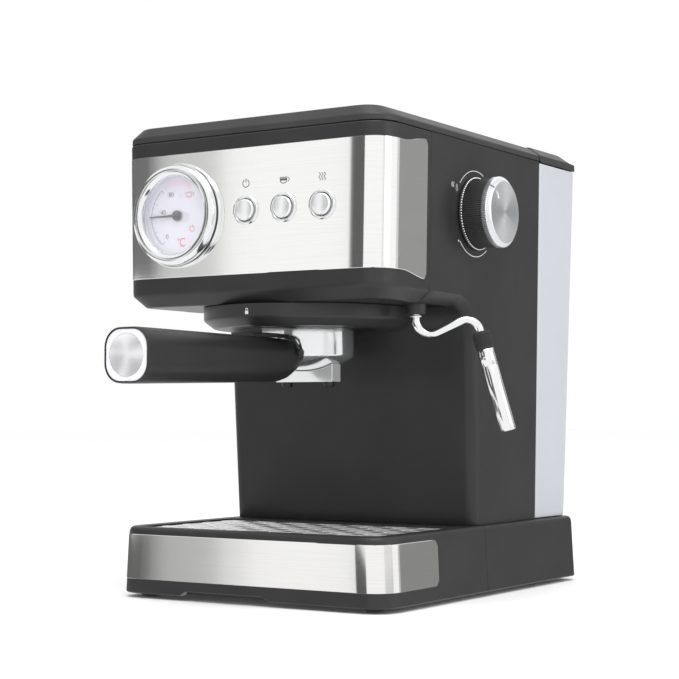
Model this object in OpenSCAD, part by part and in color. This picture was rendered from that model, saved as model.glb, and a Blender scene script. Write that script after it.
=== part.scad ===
// Pump espresso machine with a thermometer, three push buttons, a side steam
// knob, a swivelling steam wand, a bayonet filter holder, a lift-out drip tray
// and a lift-off water tank. Millimetres, +Z up, front towards -Y.

/* [Body] */
// Width of the body across its sides at the top
body_w = 218; // [216:1:220]
// Depth from the front panel to the back of the tank lid
body_d = 292; // [290:1:294]
// Height of the top cover over the lower edge of the base
body_h = 327.5; // [326:0.5:328]
// Radius of the upright front corners
corner_r = 18; // [14:1:20]
// Wall thickness of the plastic shells
wall = 3; // [2.4:0.2:3.4]

/* [Brew group] */
// Distance of the brew group axis behind the front panel
group_y = 76.4; // [75:0.2:78]
// Outer radius of the black group collar
collar_r = 74; // [70:1:74]
// Outer radius of the filter holder cup
cup_r = 32.75; // [32:0.25:32.75]
// Length of the handle from the group axis to its end
handle_len = 202; // [190:1:206]

/* [Controls] */
// Height of the dial and button centres
ctrl_z = 262.8; // [260:0.2:265]
// Radius of the dial bezel
bezel_r = 36.6; // [36:0.2:38]
// Radius of a button cap
button_r = 7.3; // [6.5:0.1:7.3]
// Travel of a button
button_travel = 2; // [1:0.5:2]
// Radius of the steam knob
knob_r = 24.3; // [22:0.1:24.3]

/* [Steam wand] */
// Angle of the wand's bend plane behind straight right
wand_angle = 22; // [0:1:24]
// Radius of the wand tube
tube_r = 2.85; // [2.5:0.05:2.85]

/* [Base] */
// Height of the base rim
base_h = 46.5; // [45:0.5:46.5]
// Height of the rubber feet below the base edge
foot_h = 2.8; // [2:0.2:2.8]

/* [Hidden] */
$fn = 64;
// the whole design stands with the centre of its bounding box over the origin
off_x = -20.9;
off_y = -83.2;
seam_z = 316;
taper = 0.02;
front_end = 62.8;   // back edge of the front moulding
shell_back = 228;   // back face of the body shell, front of the tank
gx = -57;           // dial centre
bx = [0.5, 31.3, 62.2];
knob_y = 126.8;
knob_z = 266.3;
wand_x = 90;
wand_y = 74;
foot_at = [[-92, 16], [92, 16], [-92, 240], [92, 240]];
screws = [[-80, 30], [80, 30], [-80, 200], [80, 200], [0, 145]];
valve_x = 40;
valve_y = 262;
pin_y = 233.6;
pin_z = 323.8;
// height of the lid top over the base
lid_top = pin_z + 4.8;
steel = [0.74, 0.74, 0.73];
black = [0.16, 0.16, 0.165];
dark = [0.1, 0.1, 0.1];
chrome = [0.85, 0.86, 0.88];

function hw(z) = body_w / 2 - taper * max(0, 306 - z);
function yc(z) = 125 + 0.0457 * (200 - z);
function yr(z) = body_d - 0.039 * max(0, 315 - z);

module place() { translate([off_x, off_y, foot_h]) children(); }

// rounded outline: rf is the front corner radius, rb the back one
module outline(x, y0, y1, rf = 18, rb = 8) {
  translate([-x + rf, y0]) square([2 * x - 2 * rf, y1 - y0]);
  translate([-x + rb, y0 + rf]) square([2 * x - 2 * rb, y1 - y0 - rf]);
  translate([-x, y0 + rf]) square([2 * x, y1 - y0 - rf - rb]);
  if (rf > 0) for (s = [-1, 1]) translate([s * (x - rf), y0 + rf]) circle(r = rf, $fn = 48);
  if (rb > 0) for (s = [-1, 1]) translate([s * (x - rb), y1 - rb]) circle(r = rb, $fn = 48);
}

module slab(z, t = 0.02) { translate([0, 0, z]) linear_extrude(t) children(); }

// tapering block between heights z0 and z1, inset by i all round
module front_block(z0, z1, i = 0, y1 = 62.8, i0 = 0) {
  hull() {
    slab(z0) outline(hw(z0) - i - i0, i + i0, y1, corner_r - i, 0);
    slab(z1 - 0.02) outline(hw(z1) - i, i, y1, corner_r - i, 0);
  }
}

module rod(p, q, r) {
  d = q - p;
  l = norm(d);
  translate(p) rotate([0, acos(d[2] / l), atan2(d[1], d[0])]) cylinder(r = r, h = l);
}

module pipe(pts, r) {
  for (i = [0:len(pts) - 2]) rod(pts[i], pts[i + 1], r);
  for (i = [1:len(pts) - 2]) translate(pts[i]) sphere(r = r * 1.2, $fn = 32);
}

// round section swept along a path; ref is never parallel to the path
function path_dir(p, i) = let (a = p[max(0, i - 1)], b = p[i], c = p[min(len(p) - 1, i + 1)],
  d = (i == 0 ? c - b : i == len(p) - 1 ? b - a : (b - a) / norm(b - a) + (c - b) / norm(c - b))) d / norm(d);
module sweep(p, r, ref, sides = 12) {
  n = len(p) - 1;
  pts = [for (i = [0:n]) let (t = path_dir(p, i), v0 = cross(t, ref), v = v0 / norm(v0), u = cross(v, t))
    for (j = [0:sides - 1]) p[i] + r * cos(360 * j / sides) * u + r * sin(360 * j / sides) * v];
  sidef = [for (i = [0:n - 1]) for (j = [0:sides - 1]) let (k = (j + 1) % sides)
    [i * sides + j, (i + 1) * sides + j, (i + 1) * sides + k, i * sides + k]];
  polyhedron(points = pts, faces = concat(sidef,
    [[for (j = [0:sides - 1]) j]], [[for (j = [sides - 1:-1:0]) n * sides + j]]), convexity = 6);
}

// helical wire swept as one closed skin
module coil(r, w, h, turns, seg = 16, sides = 6) {
  n = turns * seg;
  pts = [for (i = [0:n]) let (a = 360 * i / seg, z = h * i / n)
    for (j = [0:sides - 1]) let (b = 360 * j / sides)
      [(r + w * cos(b)) * cos(a), (r + w * cos(b)) * sin(a), z + w * sin(b)]];
  sidef = [for (i = [0:n - 1]) for (j = [0:sides - 1]) let (k = (j + 1) % sides)
    [i * sides + j, (i + 1) * sides + j, (i + 1) * sides + k, i * sides + k]];
  polyhedron(points = pts, faces = concat(sidef,
    [[for (j = [0:sides - 1]) j]], [[for (j = [sides - 1:-1:0]) n * sides + j]]), convexity = 6);
}

// ---------------------------------------------------------------- base
module base_outer(z0, z1, i = 0) {
  hull() {
    slab(z0) outline(111 - 0.05 * z0 - i, -1 + 0.012 * z0 + i, 138.8, corner_r - i, 0);
    slab(z1 - 0.02) outline(111 - 0.05 * z1 - i, -1 + 0.012 * z1 + i, 138.8, corner_r - i, 0);
  }
}

module base_front() {
  color(black) place() difference() {
    union() {
      // bosses for the front plate screws
      for (k = [0, 1]) translate([screws[k][0], screws[k][1], 3.4]) cylinder(r = 4, h = 7);
      difference() {
      union() {
      base_outer(0.3, 43);
      hull() {
        slab(43) outline(108.8, -0.5, 138.8, corner_r, 0);
        slab(base_h - 0.02) outline(106.2, 2.4, 138.8, corner_r - 2, 0);
      }
      }
      // hollow under the tray bay
      translate([-104, 5, 0]) cube([208, 140, 9.5]);
      }
    }
    for (k = [0, 1]) translate([screws[k][0], screws[k][1], 3]) cylinder(r = 1.8, h = 6.5);
    // tray bay
    translate([-97, 7, 12]) cube([194, 112, 60]);
    // hollow between the bay and the rear base
    translate([-104, 121.5, 0]) cube([208, 20, 43.5]);
    // arch in the front lower edge
    translate([-52, -5, -1]) cube([70, 15, 4]);
    // seat of the steel band
    difference() {
      translate([-120, -10, 10]) cube([240, 79.2, 31.6]);
      base_outer(9, 42, 0.7);
    }
  }
}

module base_band() {
  color(steel) place() difference() {
    intersection() {
      base_outer(10.2, 41.4, 0.05);
      translate([-120, -10, 0]) cube([240, 78.9, 60]);
    }
    base_outer(10, 41.6, 0.65);
    translate([-120, 69, 0]) cube([240, 100, 60]);
  }
}

module base_rear() {
  color(black) place() difference() {
    union() {
      // bosses for the rear plate screws
      for (k = [2:4]) translate([screws[k][0], screws[k][1], 3.4]) cylinder(r = 4, h = 41);
      difference() {
      union() {
      hull() {
        slab(0.3) translate([0, 139.2]) outline(111, 0, 150.8, 0, 10);
        slab(42) translate([0, 139.2]) outline(108.9, 0, 150.2, 0, 10);
      }
      hull() {
        slab(42) translate([0, 139.2]) outline(108.9, 0, 150.2, 0, 10);
        slab(base_h - 0.02) translate([0, 139.2]) outline(105.5, 0, 147.2, 0, 9);
      }
      }
      translate([-105, 130, -1]) cube([210, 155, 44.5]);
      }
    }
    for (k = [2:4]) translate([screws[k][0], screws[k][1], 3]) cylinder(r = 1.8, h = 9);
    // cord inlet in the back wall
    translate([-75, 280, 22]) rotate([-90, 0, 0]) cylinder(r = 6.6, h = 20);
    // water passage to the tank spigot
    translate([valve_x, valve_y, 40]) cylinder(r = 3, h = 10);
    // hose passage below the pump
    translate([-30, 178, 40]) cylinder(r = 6, h = 10);
    // panel vents in the back wall
    for (k = [0:7]) translate([-20 + 10 * k, 283, 14]) cube([5, 20, 14]);
  }
}

module base_plate() {
  color(dark) place() difference() {
    translate([-103.5, 6, 1.2]) cube([207, 278.5, 2]);
    for (p = foot_at) translate([p[0], p[1], 0]) cylinder(r = 3.1, h = 5);
    for (p = screws) translate([p[0], p[1], 0]) cylinder(r = 1.9, h = 5);
    for (k = [0:5]) translate([-50 + 18 * k, 156, 0]) cube([8, 50, 5]);
  }
}

module feet() {
  color(dark) place() for (p = foot_at)
    translate([p[0], p[1], -foot_h]) {
      cylinder(r1 = 6.6, r2 = 7.4, h = 1);
      translate([0, 0, 1]) cylinder(r = 7.4, h = foot_h + 0.2);
      cylinder(r = 3, h = foot_h + 3.2);
    }
}

// ------------------------------------------------------- upper shells
module body_shell() {
  color(black) place() difference() {
    union() {
      hull() {
        slab(208.7) translate([0, 63.2]) outline(hw(208.7), 0, shell_back - 63.2, 0, 0);
        slab(seam_z - 0.02) translate([0, 63.2]) outline(hw(316), 0, shell_back - 63.2, 0, 0);
      }
      hull() {
        slab(200.5) translate([0, 63.2]) outline(hw(200) - 8.5, 0, 66, 0, 0);
        slab(208.7) translate([0, 63.2]) outline(hw(208.7), 0, 66, 0, 0);
      }
      hull() {
        slab(46.8) outline(hw(46.8), yc(46.8), shell_back, 8, 0);
        slab(208.7) outline(hw(208.7), yc(208.7), shell_back, 8, 0);
      }
    }
    hull() {
      slab(209) outline(hw(209) - wall, 50, shell_back - wall, 0, 0);
      slab(seam_z) outline(hw(316) - wall, 50, shell_back - wall, 0, 0);
    }
    translate([-96, 50, 199]) cube([192, 75.1, 11]);
    hull() {
      slab(46) outline(hw(46) - wall, yc(46) + wall, shell_back - wall, 5, 0);
      slab(209.5) outline(hw(209.5) - wall, yc(209.5) + wall, shell_back - wall, 5, 0);
    }
    translate([80, knob_y, knob_z]) rotate([0, 90, 0]) cylinder(r = 6, h = 40);
    translate([wand_x, wand_y, 199]) cylinder(r = 9.4, h = 11);
    // cooling slots in the wall behind the tank
    for (k = [0:6]) translate([-60 + 20 * k, 215, 285]) cube([10, 20, 3]);
  }
}

module head_front() {
  color(black) place() difference() {
    union() {
      front_block(208.7, seam_z);
      hull() {
        slab(200.5) outline(hw(200) - 8.5, 8.5, front_end, 12, 0);
        slab(208.7) outline(hw(208.7), 0, front_end, corner_r, 0);
      }
    }
    front_block(209, seam_z + 1, wall + 0.7, 80);
    translate([0, 0, 199]) linear_extrude(11) outline(96, 11.7, 80, 8, 0);
    difference() {
      translate([-120, -5, 219.8]) cube([240, 63.3, 86.4]);
      front_block(210, 314, 0.7, 80);
    }
    translate([gx, -5, ctrl_z]) rotate([-90, 0, 0]) cylinder(r = 33, h = 20);
    for (x = bx) translate([x, -5, ctrl_z + 0.4]) rotate([-90, 0, 0]) cylinder(r = 9.1, h = 20);
  }
}

module front_panel() {
  color(steel) place() difference() {
    intersection() {
      front_block(218, 308, 0.05, 62);
      translate([-120, -5, 220]) cube([240, 63, 86]);
    }
    front_block(217, 309, 0.65, 80);
    translate([gx, -5, ctrl_z]) rotate([-90, 0, 0]) cylinder(r = 33, h = 20);
    for (x = bx) translate([x, -5, ctrl_z + 0.4]) rotate([-90, 0, 0]) cylinder(r = 9.1, h = 20);
  }
}

module head_underside() {
  color(dark) place() difference() {
    translate([0, 0, 200.5]) linear_extrude(2.5) outline(95.6, 12, 124.7, 7.8, 0);
    translate([0, group_y, 195]) cylinder(r = 48.4, h = 20);
    translate([wand_x, wand_y, 195]) cylinder(r = 7.3, h = 20);
  }
}

module top_cover() {
  color(black) place() difference() {
    union() {
      translate([0, 0, 316.3]) linear_extrude(4.2) outline(body_w / 2, 0.6, 228, corner_r, 0);
      hull() {
        slab(320.5) outline(body_w / 2, 0.6, 228, corner_r, 0);
        slab(body_h - 0.02) outline(body_w / 2 - 10, 4.6, 228, corner_r - 6, 0);
      }
    }
    translate([0, 0, 315]) linear_extrude(6) outline(body_w / 2 - 3, 3.6, 225.5, corner_r - 3, 0);
  }
}

// ------------------------------------------------------- brew group
module at_group() { place() translate([0, group_y, 0]) children(); }

module group_collar() {
  color(dark) at_group() difference() {
    rotate_extrude($fn = 96) polygon([[48.4, 185], [collar_r - 8, 185], [collar_r, 191],
      [collar_r, 200.2], [48.4, 200.2]]);
    translate([-100, 124.6 - group_y, 180]) cube([200, 60, 30]);
  }
}

module group_head() {
  color([0.62, 0.62, 0.6]) at_group() difference() {
    translate([0, 0, 184.8]) cylinder(r = 48, h = 25.2, $fn = 96);
    translate([0, 0, 184]) cylinder(r = 33.2, h = 9);
    translate([0, 0, 187]) cylinder(r = 38.3, h = 5.6);
    translate([0, 0, 184]) cylinder(r = 28, h = 12.5);
    translate([0, 0, 192.5]) cylinder(r = 34, h = 4);
    // entry gaps for the two ears
    for (a = [130, 310]) rotate([0, 0, a - 24]) translate([0, 0, 184])
      rotate_extrude(angle = 48) square([38.3, 5]);
    cylinder(r = 2.5, h = 204);
    // four screw holes up into the boiler
    for (a = [45:90:315]) rotate([0, 0, a]) translate([41.5, 0, 200]) cylinder(r = 2.1, h = 20);
    // clearance behind the ring for the column wall
    translate([-60, 124.6 - group_y, 180]) cube([120, 30, 20.2]);
  }
}

module group_gasket() {
  color([0.45, 0.16, 0.12]) at_group() translate([0, 0, 192.6]) difference() {
    cylinder(r = 34, h = 3.9);
    translate([0, 0, -1]) cylinder(r = 28, h = 6);
  }
}

module shower_screen() {
  color(steel) at_group() difference() {
    translate([0, 0, 193.6]) cylinder(r = 27.5, h = 1.2);
    cylinder(r = 2.5, h = 300);
  }
}

module screen_screw() {
  color(steel) at_group() difference() {
    union() {
      translate([0, 0, 192.7]) cylinder(r1 = 3.2, r2 = 4, h = 0.9);
      translate([0, 0, 193.6]) cylinder(r = 2.4, h = 10);
    }
    translate([-4, -0.5, 192]) cube([8, 1, 1.1]);
  }
}

module boiler() {
  color([0.66, 0.66, 0.64]) at_group() difference() {
    union() {
      translate([0, 0, 210]) cylinder(r = 46, h = 6);
      translate([0, 0, 216]) cylinder(r = 37, h = 44);
      translate([0, 0, 260]) cylinder(r1 = 37, r2 = 30, h = 4);
      for (x = [-18, 18]) translate([x, 0, 264]) cylinder(r = 5, h = 12);
      translate([0, 18, 264]) cylinder(r = 6, h = 9);
    }
    translate([0, 0, 214]) cylinder(r = 31, h = 42);
    for (a = [45:90:315]) rotate([0, 0, a]) translate([41.5, 0, 205]) cylinder(r = 2.1, h = 20);
  }
}

module boiler_screws() {
  color(steel) at_group() for (a = [45:90:315]) rotate([0, 0, a]) translate([41.5, 0, 203]) {
    cylinder(r = 2, h = 13);
    translate([0, 0, 13.05]) cylinder(r = 3.8, h = 3);
    translate([0, 0, 12.9]) cylinder(r = 2, h = 1);
  }
}

// --------------------------------------------------- pump and plumbing
module pump() {
  color([0.75, 0.68, 0.5]) place() translate([-30, 178, 0]) difference() {
    union() {
      translate([0, 0, 62]) cylinder(r = 9, h = 110);
      translate([-22, -22, 84]) cube([44, 44, 40]);
      translate([0, 0, 124]) cylinder(r = 15, h = 30);
      translate([0, 0, 172]) cylinder(r = 4, h = 10);
      for (a = [-16, 16]) translate([-8, a - 1, 46.6]) cube([16, 2, 40]);
    }
    translate([0, 0, 60]) cylinder(r = 3, h = 10);
  }
}

module water_hoses() {
  color([0.85, 0.86, 0.84]) place() {
    sweep([[valve_x, valve_y, 38], [valve_x, valve_y, 26], [valve_x - 6, valve_y - 5, 22], [-26, 204, 22],
      [-30, 186, 23], [-30, 178, 30], [-30, 178, 61.8]], 2.8, [0.66, -0.75, 0]);
    sweep([[-30, 178, 182.2], [-30, 178, 276], [-26, 168, 284], [-4, 126, 287], [0, group_y + 26, 286],
      [0, group_y + 18, 280], [0, group_y + 18, 273.2]], 2.4, [0.888, 0.459, 0]);
  }
}

module steam_valve() {
  color([0.72, 0.6, 0.3]) place() difference() {
    union() {
      translate([68, knob_y - 13, knob_z - 13]) cube([26, 26, 26]);
      translate([94, knob_y, knob_z]) rotate([0, 90, 0]) cylinder(r = 9, h = 8);
      translate([82, knob_y, knob_z - 20]) cylinder(r = 6, h = 10);
      translate([56, knob_y, knob_z]) rotate([0, 90, 0]) cylinder(r = 5, h = 14);
    }
    translate([74, knob_y, knob_z]) rotate([0, 90, 0]) cylinder(r = 4.05, h = 40);
  }
}

module steam_pipe() {
  color([0.72, 0.45, 0.3]) place() pipe([[82, knob_y, knob_z - 20.2], [82, knob_y, 232],
    [88, 100, 228], [wand_x, wand_y, 226], [wand_x, wand_y, 216.2]], 2.2);
}

module control_board() {
  color([0.1, 0.35, 0.2]) place() {
    translate([20, 218, 150]) cube([70, 1.6, 100]);
    for (x = [26, 84]) for (z = [156, 244]) translate([x, 219.5, z]) rotate([-90, 0, 0]) cylinder(r = 3, h = 4.2);
    translate([30, 203, 165]) cube([22, 15.1, 16]);
    translate([30, 203, 190]) cube([22, 15.1, 16]);
    translate([62, 206, 170]) cube([14, 12.1, 26]);
    translate([66, 218.1, 220]) rotate([90, 0, 0]) cylinder(r = 6, h = 18);
    translate([30, 210, 222]) cube([26, 8.1, 8]);
  }
}

module cord_inlet() {
  color(dark) place() translate([-75, 0, 22]) rotate([-90, 0, 0]) difference() {
    union() {
      translate([0, 0, 284.2]) cylinder(r = 6.4, h = 6);
      translate([0, 0, 281.5]) cylinder(r = 8.5, h = 2.7);
      translate([0, 0, 290.7]) cylinder(r = 8.5, h = 1.3);
      translate([0, 0, 290]) cylinder(r = 6.4, h = 1);
    }
    translate([0, 0, 280]) cylinder(r = 3.6, h = 20);
  }
}

module tank_spigot() {
  color([0.2, 0.2, 0.2]) place() translate([valve_x, valve_y, 0]) difference() {
    union() {
      translate([0, 0, 46.6]) cylinder(r = 6.9, h = 0.8);
      translate([0, 0, 47.3]) cylinder(r = 6.4, h = 6.5);
      translate([0, 0, 38.2]) cylinder(r = 2.8, h = 9);
      translate([0, 0, 50]) rotate_extrude() translate([6.2, 0]) circle(r = 0.7, $fn = 24);
    }
    translate([0, 0, 35]) cylinder(r = 1.6, h = 17);
  }
}

module housing_screws() {
  color(steel) place() {
    for (p = screws)
      translate([p[0], p[1], -0.1]) difference() {
        union() { cylinder(r = 3.5, h = 1.2); cylinder(r = 1.7, h = 9); }
        translate([-3, -0.4, -1]) cube([6, 0.8, 1.5]);
      }
  }
}

// ------------------------------------------------------------- gauge
module at_gauge() { place() translate([gx, 0, ctrl_z]) rotate([-90, 0, 0]) children(); }

module gauge_housing() {
  color([0.7, 0.7, 0.7]) at_gauge() difference() {
    translate([0, 0, 0.2]) cylinder(r = 29.5, h = 24);
    translate([0, 0, -1]) cylinder(r = 28, h = 5);
    translate([0, 0, 3.9]) cylinder(r = 0.86, h = 14);
    translate([0, 0, 20]) cylinder(r = 4, h = 10);
  }
}

module gauge_dial() {
  color([0.93, 0.93, 0.95]) at_gauge() difference() {
    translate([0, 0, -0.6]) cylinder(r = 27.8, h = 1);
    translate([0, 0, -2]) cylinder(r = 1.2, h = 5);
  }
}

module gauge_bezel() {
  color(chrome) at_gauge() rotate_extrude($fn = 96) difference() {
    union() {
      translate([28.3, -3]) square([bezel_r - 28.3, 3]);
      translate([31, -5.4]) circle(r = 4.2, $fn = 48);
      translate([27, -6]) square([3, 6]);
      translate([29.7, -1]) square([3.2, 6]);
    }
    translate([20, -6.6]) square([6.9, 12]);
    translate([20, -1]) square([7.9, 7]);
  }
}

module gauge_lens() {
  color([0.8, 0.85, 0.9, 0.3]) at_gauge() translate([0, 0, -6.6]) cylinder(r = 26.85, h = 1);
}

module gauge_needle() {
  color(dark) at_gauge() {
    translate([0, 0, -3.4]) cylinder(r = 3.6, h = 2.2);
    translate([-24, -0.6, -2.6]) cube([24, 1.2, 0.6]);
    translate([0, -0.8, -2.6]) cube([9, 1.6, 0.6]);
    translate([0, 0, -1.3]) cylinder(r = 0.8, h = 11);
  }
}

// ------------------------------------------------------------ buttons
module at_button(k) { place() translate([bx[k], 0, ctrl_z + 0.4]) rotate([-90, 0, 0]) children(); }

module button_rings() {
  color(chrome) for (k = [0:2]) at_button(k) difference() {
    union() {
      translate([0, 0, -1.6]) cylinder(r1 = 9.4, r2 = 10.2, h = 1.6);
      translate([0, 0, -0.1]) cylinder(r = 8.9, h = 6.3);
    }
    translate([0, 0, -3]) cylinder(r = 7.6, h = 12);
  }
}

module cap(k) {
  color(chrome) at_button(k) {
    translate([0, 0, -2.6]) cylinder(r = button_r, h = 9.2);
    translate([0, 0, -3.6]) cylinder(r1 = button_r - 2.2, r2 = button_r, h = 1);
    translate([0, 0, 6.6]) cylinder(r = 8.8, h = 1.4);
    translate([0, 0, 7.9]) cylinder(r = 2.4, h = 6.2);
  }
}
module button_power() { cap(0); }
module button_coffee() { cap(1); }
module button_steam() { cap(2); }

module cap_spring(k) {
  color(steel) at_button(k) translate([0, 0, 8.9]) coil(4.2, 0.4, 8.0, 4);
}
module spring_power() { cap_spring(0); }
module spring_coffee() { cap_spring(1); }
module spring_steam() { cap_spring(2); }

module switch_board() {
  color([0.1, 0.35, 0.2]) place() {
    translate([-14, 18, 248]) cube([92, 1.6, 30]);
    for (x = bx) translate([x - 6, 17.4, ctrl_z + 0.4 - 6]) cube([12, 0.7, 12]);
    for (x = bx) translate([x, 17.5, ctrl_z + 0.4]) rotate([90, 0, 0]) cylinder(r = 1.75, h = 1);
    for (x = [-10, 74]) for (z = [252, 274]) translate([x, 18.1, z]) rotate([90, 0, 0]) cylinder(r = 2.5, h = 14.2);
  }
}

// --------------------------------------------------------------- knob
module at_knob() { place() translate([0, knob_y, knob_z]) rotate([0, 90, 0]) children(); }

module knob_ring() {
  color(chrome) at_knob() difference() {
    translate([0, 0, 108.9]) cylinder(r = 25.6, h = 1.4, $fn = 96);
    translate([0, 0, 100]) cylinder(r = knob_r + 0.4, h = 20, $fn = 96);
  }
}

module knob_body() {
  color(dark) at_knob() difference() {
    union() {
      translate([0, 0, 109.3]) cylinder(r = knob_r - 0.5, h = 18, $fn = 96);
      for (k = [0:35]) rotate([0, 0, 10 * k]) translate([knob_r - 1.2, -0.6, 110.5]) cube([1.1, 1.2, 16.8]);
    }
    translate([0, 0, 109]) cylinder(r = knob_r - 3, h = 15.5);
    translate([0, 0, 123]) cylinder(r = 3.98, h = 5);
  }
}

module knob_cap() {
  color([0.8, 0.8, 0.82]) at_knob() difference() {
    union() {
      translate([0, 0, 127.4]) cylinder(r = knob_r + 0.5, h = 0.9, $fn = 96);
      translate([0, 0, 128.3]) cylinder(r1 = knob_r + 0.5, r2 = knob_r - 3.2, h = 3.2, $fn = 96);
      translate([0, 0, 131.5]) cylinder(r1 = knob_r - 4.2, r2 = knob_r - 5.5, h = 0.5, $fn = 96);
    }
    rotate([0, 0, 125]) translate([knob_r - 6.5, 0, 131.4]) scale([2, 1, 1]) sphere(r = 1.4, $fn = 24);
  }
}

module valve_stem() {
  color([0.72, 0.6, 0.3]) at_knob() {
    translate([0, 0, 80]) cylinder(r = 4, h = 43);
    translate([0, 0, 122.9]) cylinder(r = 3.95, h = 4.2);
    translate([0, 0, 76.5]) cylinder(r1 = 1.5, r2 = 4, h = 3.6);
  }
}

// --------------------------------------------------------- steam wand
module at_wand() { place() translate([wand_x, wand_y, 0]) rotate([0, 0, wand_angle]) children(); }
// centre line of the tube: lower bend, rising leg, upper bend, straight leg
bend_r = 10;
rise = 25;     // slope of the rising leg
steep = 15.5;    // lean of the straight leg from the vertical
w1 = [bend_r + bend_r * cos(270 + rise), 0, 190 + bend_r * sin(270 + rise)];
w2 = w1 + 17.5 * [cos(rise), 0, sin(rise)];
wc = w2 + bend_r * [sin(rise), 0, -cos(rise)];
w3 = wc + bend_r * [cos(steep), 0, sin(steep)];
// point on the straight leg, t millimetres past the upper bend
function leg(t) = w3 + t * [sin(steep), 0, -cos(steep)];

module wand_boss() {
  color(dark) place() translate([wand_x, wand_y, 0]) difference() {
    union() {
      translate([0, 0, 193]) cylinder(r = 7, h = 7.4);
      translate([0, 0, 200.3]) cylinder(r = 7, h = 15.7);
      translate([0, 0, 203.3]) cylinder(r = 9, h = 2.2);
    }
    translate([0, 0, 190]) cylinder(r = tube_r + 0.05, h = 16);
    translate([0, 0, 205.5]) cylinder(r = 4.6, h = 8.5);
  }
}

module wand_tube() {
  color(chrome) at_wand() {
    translate([0, 0, 188]) cylinder(r = tube_r, h = 23);
    translate([0, 0, 206]) cylinder(r = 4.4, h = 5);
    translate([0, 0, 191.4]) cylinder(r = 4.3, h = 1.2);
    // lower bend, rising leg, upper bend
    sweep(concat([[0, 0, 191]],
      [for (k = [0:10]) let (a = 180 + (90 + rise) * k / 10) [bend_r + bend_r * cos(a), 0, 190 + bend_r * sin(a)]],
      [for (k = [0:10]) let (a = 90 + rise - (90 + rise - steep) * k / 10) wc + bend_r * [cos(a), 0, sin(a)]],
      [leg(64)]), tube_r - 0.03, [0, 1, 0], 16);
  }
}

module wand_grip() {
  color(dark) at_wand() difference() {
    union() {
      rod(leg(0.8), leg(13), 6);
      for (k = [0:3]) rod(leg(2.4 + 2.8 * k), leg(3.8 + 2.8 * k), 6.3);
    }
    rod(leg(-2), leg(15), tube_r + 0.02);
  }
}

module wand_sleeve() {
  color(chrome) at_wand() difference() {
    rod(leg(13.2), leg(70.4), 5.3);
    rod(leg(12), leg(64.6), tube_r + 0.02);
    rod(leg(64), leg(71.4), 1.2);
    rod(leg(26) + [0, -6, 0], leg(26) + [0, 6, 0], 0.9);
  }
}

// -------------------------------------------------------- filter holder
// bowl of the cup: radius of the sphere that forms its underside
bowl = 58.6;

module portafilter_cup() {
  color(chrome) at_group() difference() {
    union() {
      intersection() {
        translate([0, 0, 150]) cylinder(r = cup_r, h = 41, $fn = 96);
        translate([0, 0, 155.9 + bowl]) sphere(r = bowl, $fn = 96);
      }
      intersection() {
        translate([0, 0, 166]) cylinder(r = cup_r, h = 25, $fn = 96);
        translate([0, 0, 165]) cylinder(r = 40, h = 26);
      }
      // two bayonet ears
      for (a = [-18, 162]) rotate([0, 0, a]) translate([0, 0, 187.6])
        rotate_extrude(angle = 36) translate([30.5, 0]) square([7.2, 3.4]);
      // nipple for the spout and boss for the handle
      translate([0, 0, 150]) cylinder(r = 4.2, h = 10);
      translate([0, -28, 168]) rotate([90, 0, 0]) cylinder(r = 7.4, h = 13);
    }
    translate([0, 0, 167.5]) cylinder(r = 30.3, h = 40, $fn = 96);
    translate([0, 0, 160]) cylinder(r1 = 4, r2 = 24, h = 7.6);
    translate([0, 0, 140]) cylinder(r = 3, h = 30);
    translate([0, -34, 168]) rotate([90, 0, 0]) cylinder(r = 2.6, h = 13);
  }
}

module filter_basket() {
  color(steel) at_group() difference() {
    union() {
      translate([0, 0, 191.05]) cylinder(r = 32.4, h = 0.9, $fn = 96);
      translate([0, 0, 168.2]) cylinder(r = 29.9, h = 23, $fn = 96);
    }
    translate([0, 0, 169]) cylinder(r = 29.1, h = 40, $fn = 96);
    for (r = [6, 12, 18, 24]) for (k = [0:r - 1]) rotate([0, 0, 360 * k / r])
      translate([r, 0, 167]) cylinder(r = 0.6, h = 4, $fn = 16);
  }
}

module pad(y, w, h, z, r) {
  translate([0, y, z]) rotate([90, 0, 0]) linear_extrude(0.02)
    union() {
      square([w - 2 * r, h], center = true);
      square([w, h - 2 * r], center = true);
      for (sx = [-1, 1]) for (sz = [-1, 1]) translate([sx * (w / 2 - r), sz * (h / 2 - r)]) circle(r = r, $fn = 32);
    }
}

module handle() {
  he = group_y - handle_len;
  color(black) place() difference() {
    union() {
      hull() { pad(he + 5.4, 35, 35, 161.5, 12); pad(12, 33, 31, 162.3, 12); }
      hull() { pad(12, 33, 31, 162.3, 12); pad(46, 30, 24, 165, 10); }
    }
    translate([0, group_y, 140]) cylinder(r = cup_r + 0.3, h = 60, $fn = 96);
    translate([0, 60, 168]) rotate([90, 0, 0]) cylinder(r = 7.5, h = 26);
    translate([0, 60, 168]) rotate([90, 0, 0]) cylinder(r = 2.6, h = 100);
    translate([0, -20, 168]) rotate([90, 0, 0]) cylinder(r = 5, h = 30);
    // hollow behind the end cap
    translate([0, he + 18, 161.5]) rotate([90, 0, 0]) cylinder(r = 9, h = 30);
  }
}

module rounded_square(w, r) {
  square([w - 2 * r, w], center = true);
  square([w, w - 2 * r], center = true);
  for (sx = [-1, 1]) for (sz = [-1, 1]) translate([sx * (w / 2 - r), sz * (w / 2 - r)]) circle(r = r);
}

module handle_cap() {
  he = group_y - handle_len;
  color(chrome) place() translate([0, he, 161.5]) rotate([-90, 0, 0]) difference() {
    union() {
      translate([0, 0, 1.2]) linear_extrude(4) rounded_square(33.4, 11.5);
      linear_extrude(1.3) rounded_square(31.6, 11);
      translate([0, 0, 4.8]) cylinder(r = 8.8, h = 7.2);
    }
    translate([0, 0, -0.6]) cylinder(r1 = 13, r2 = 9, h = 2.2);
  }
}

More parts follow.
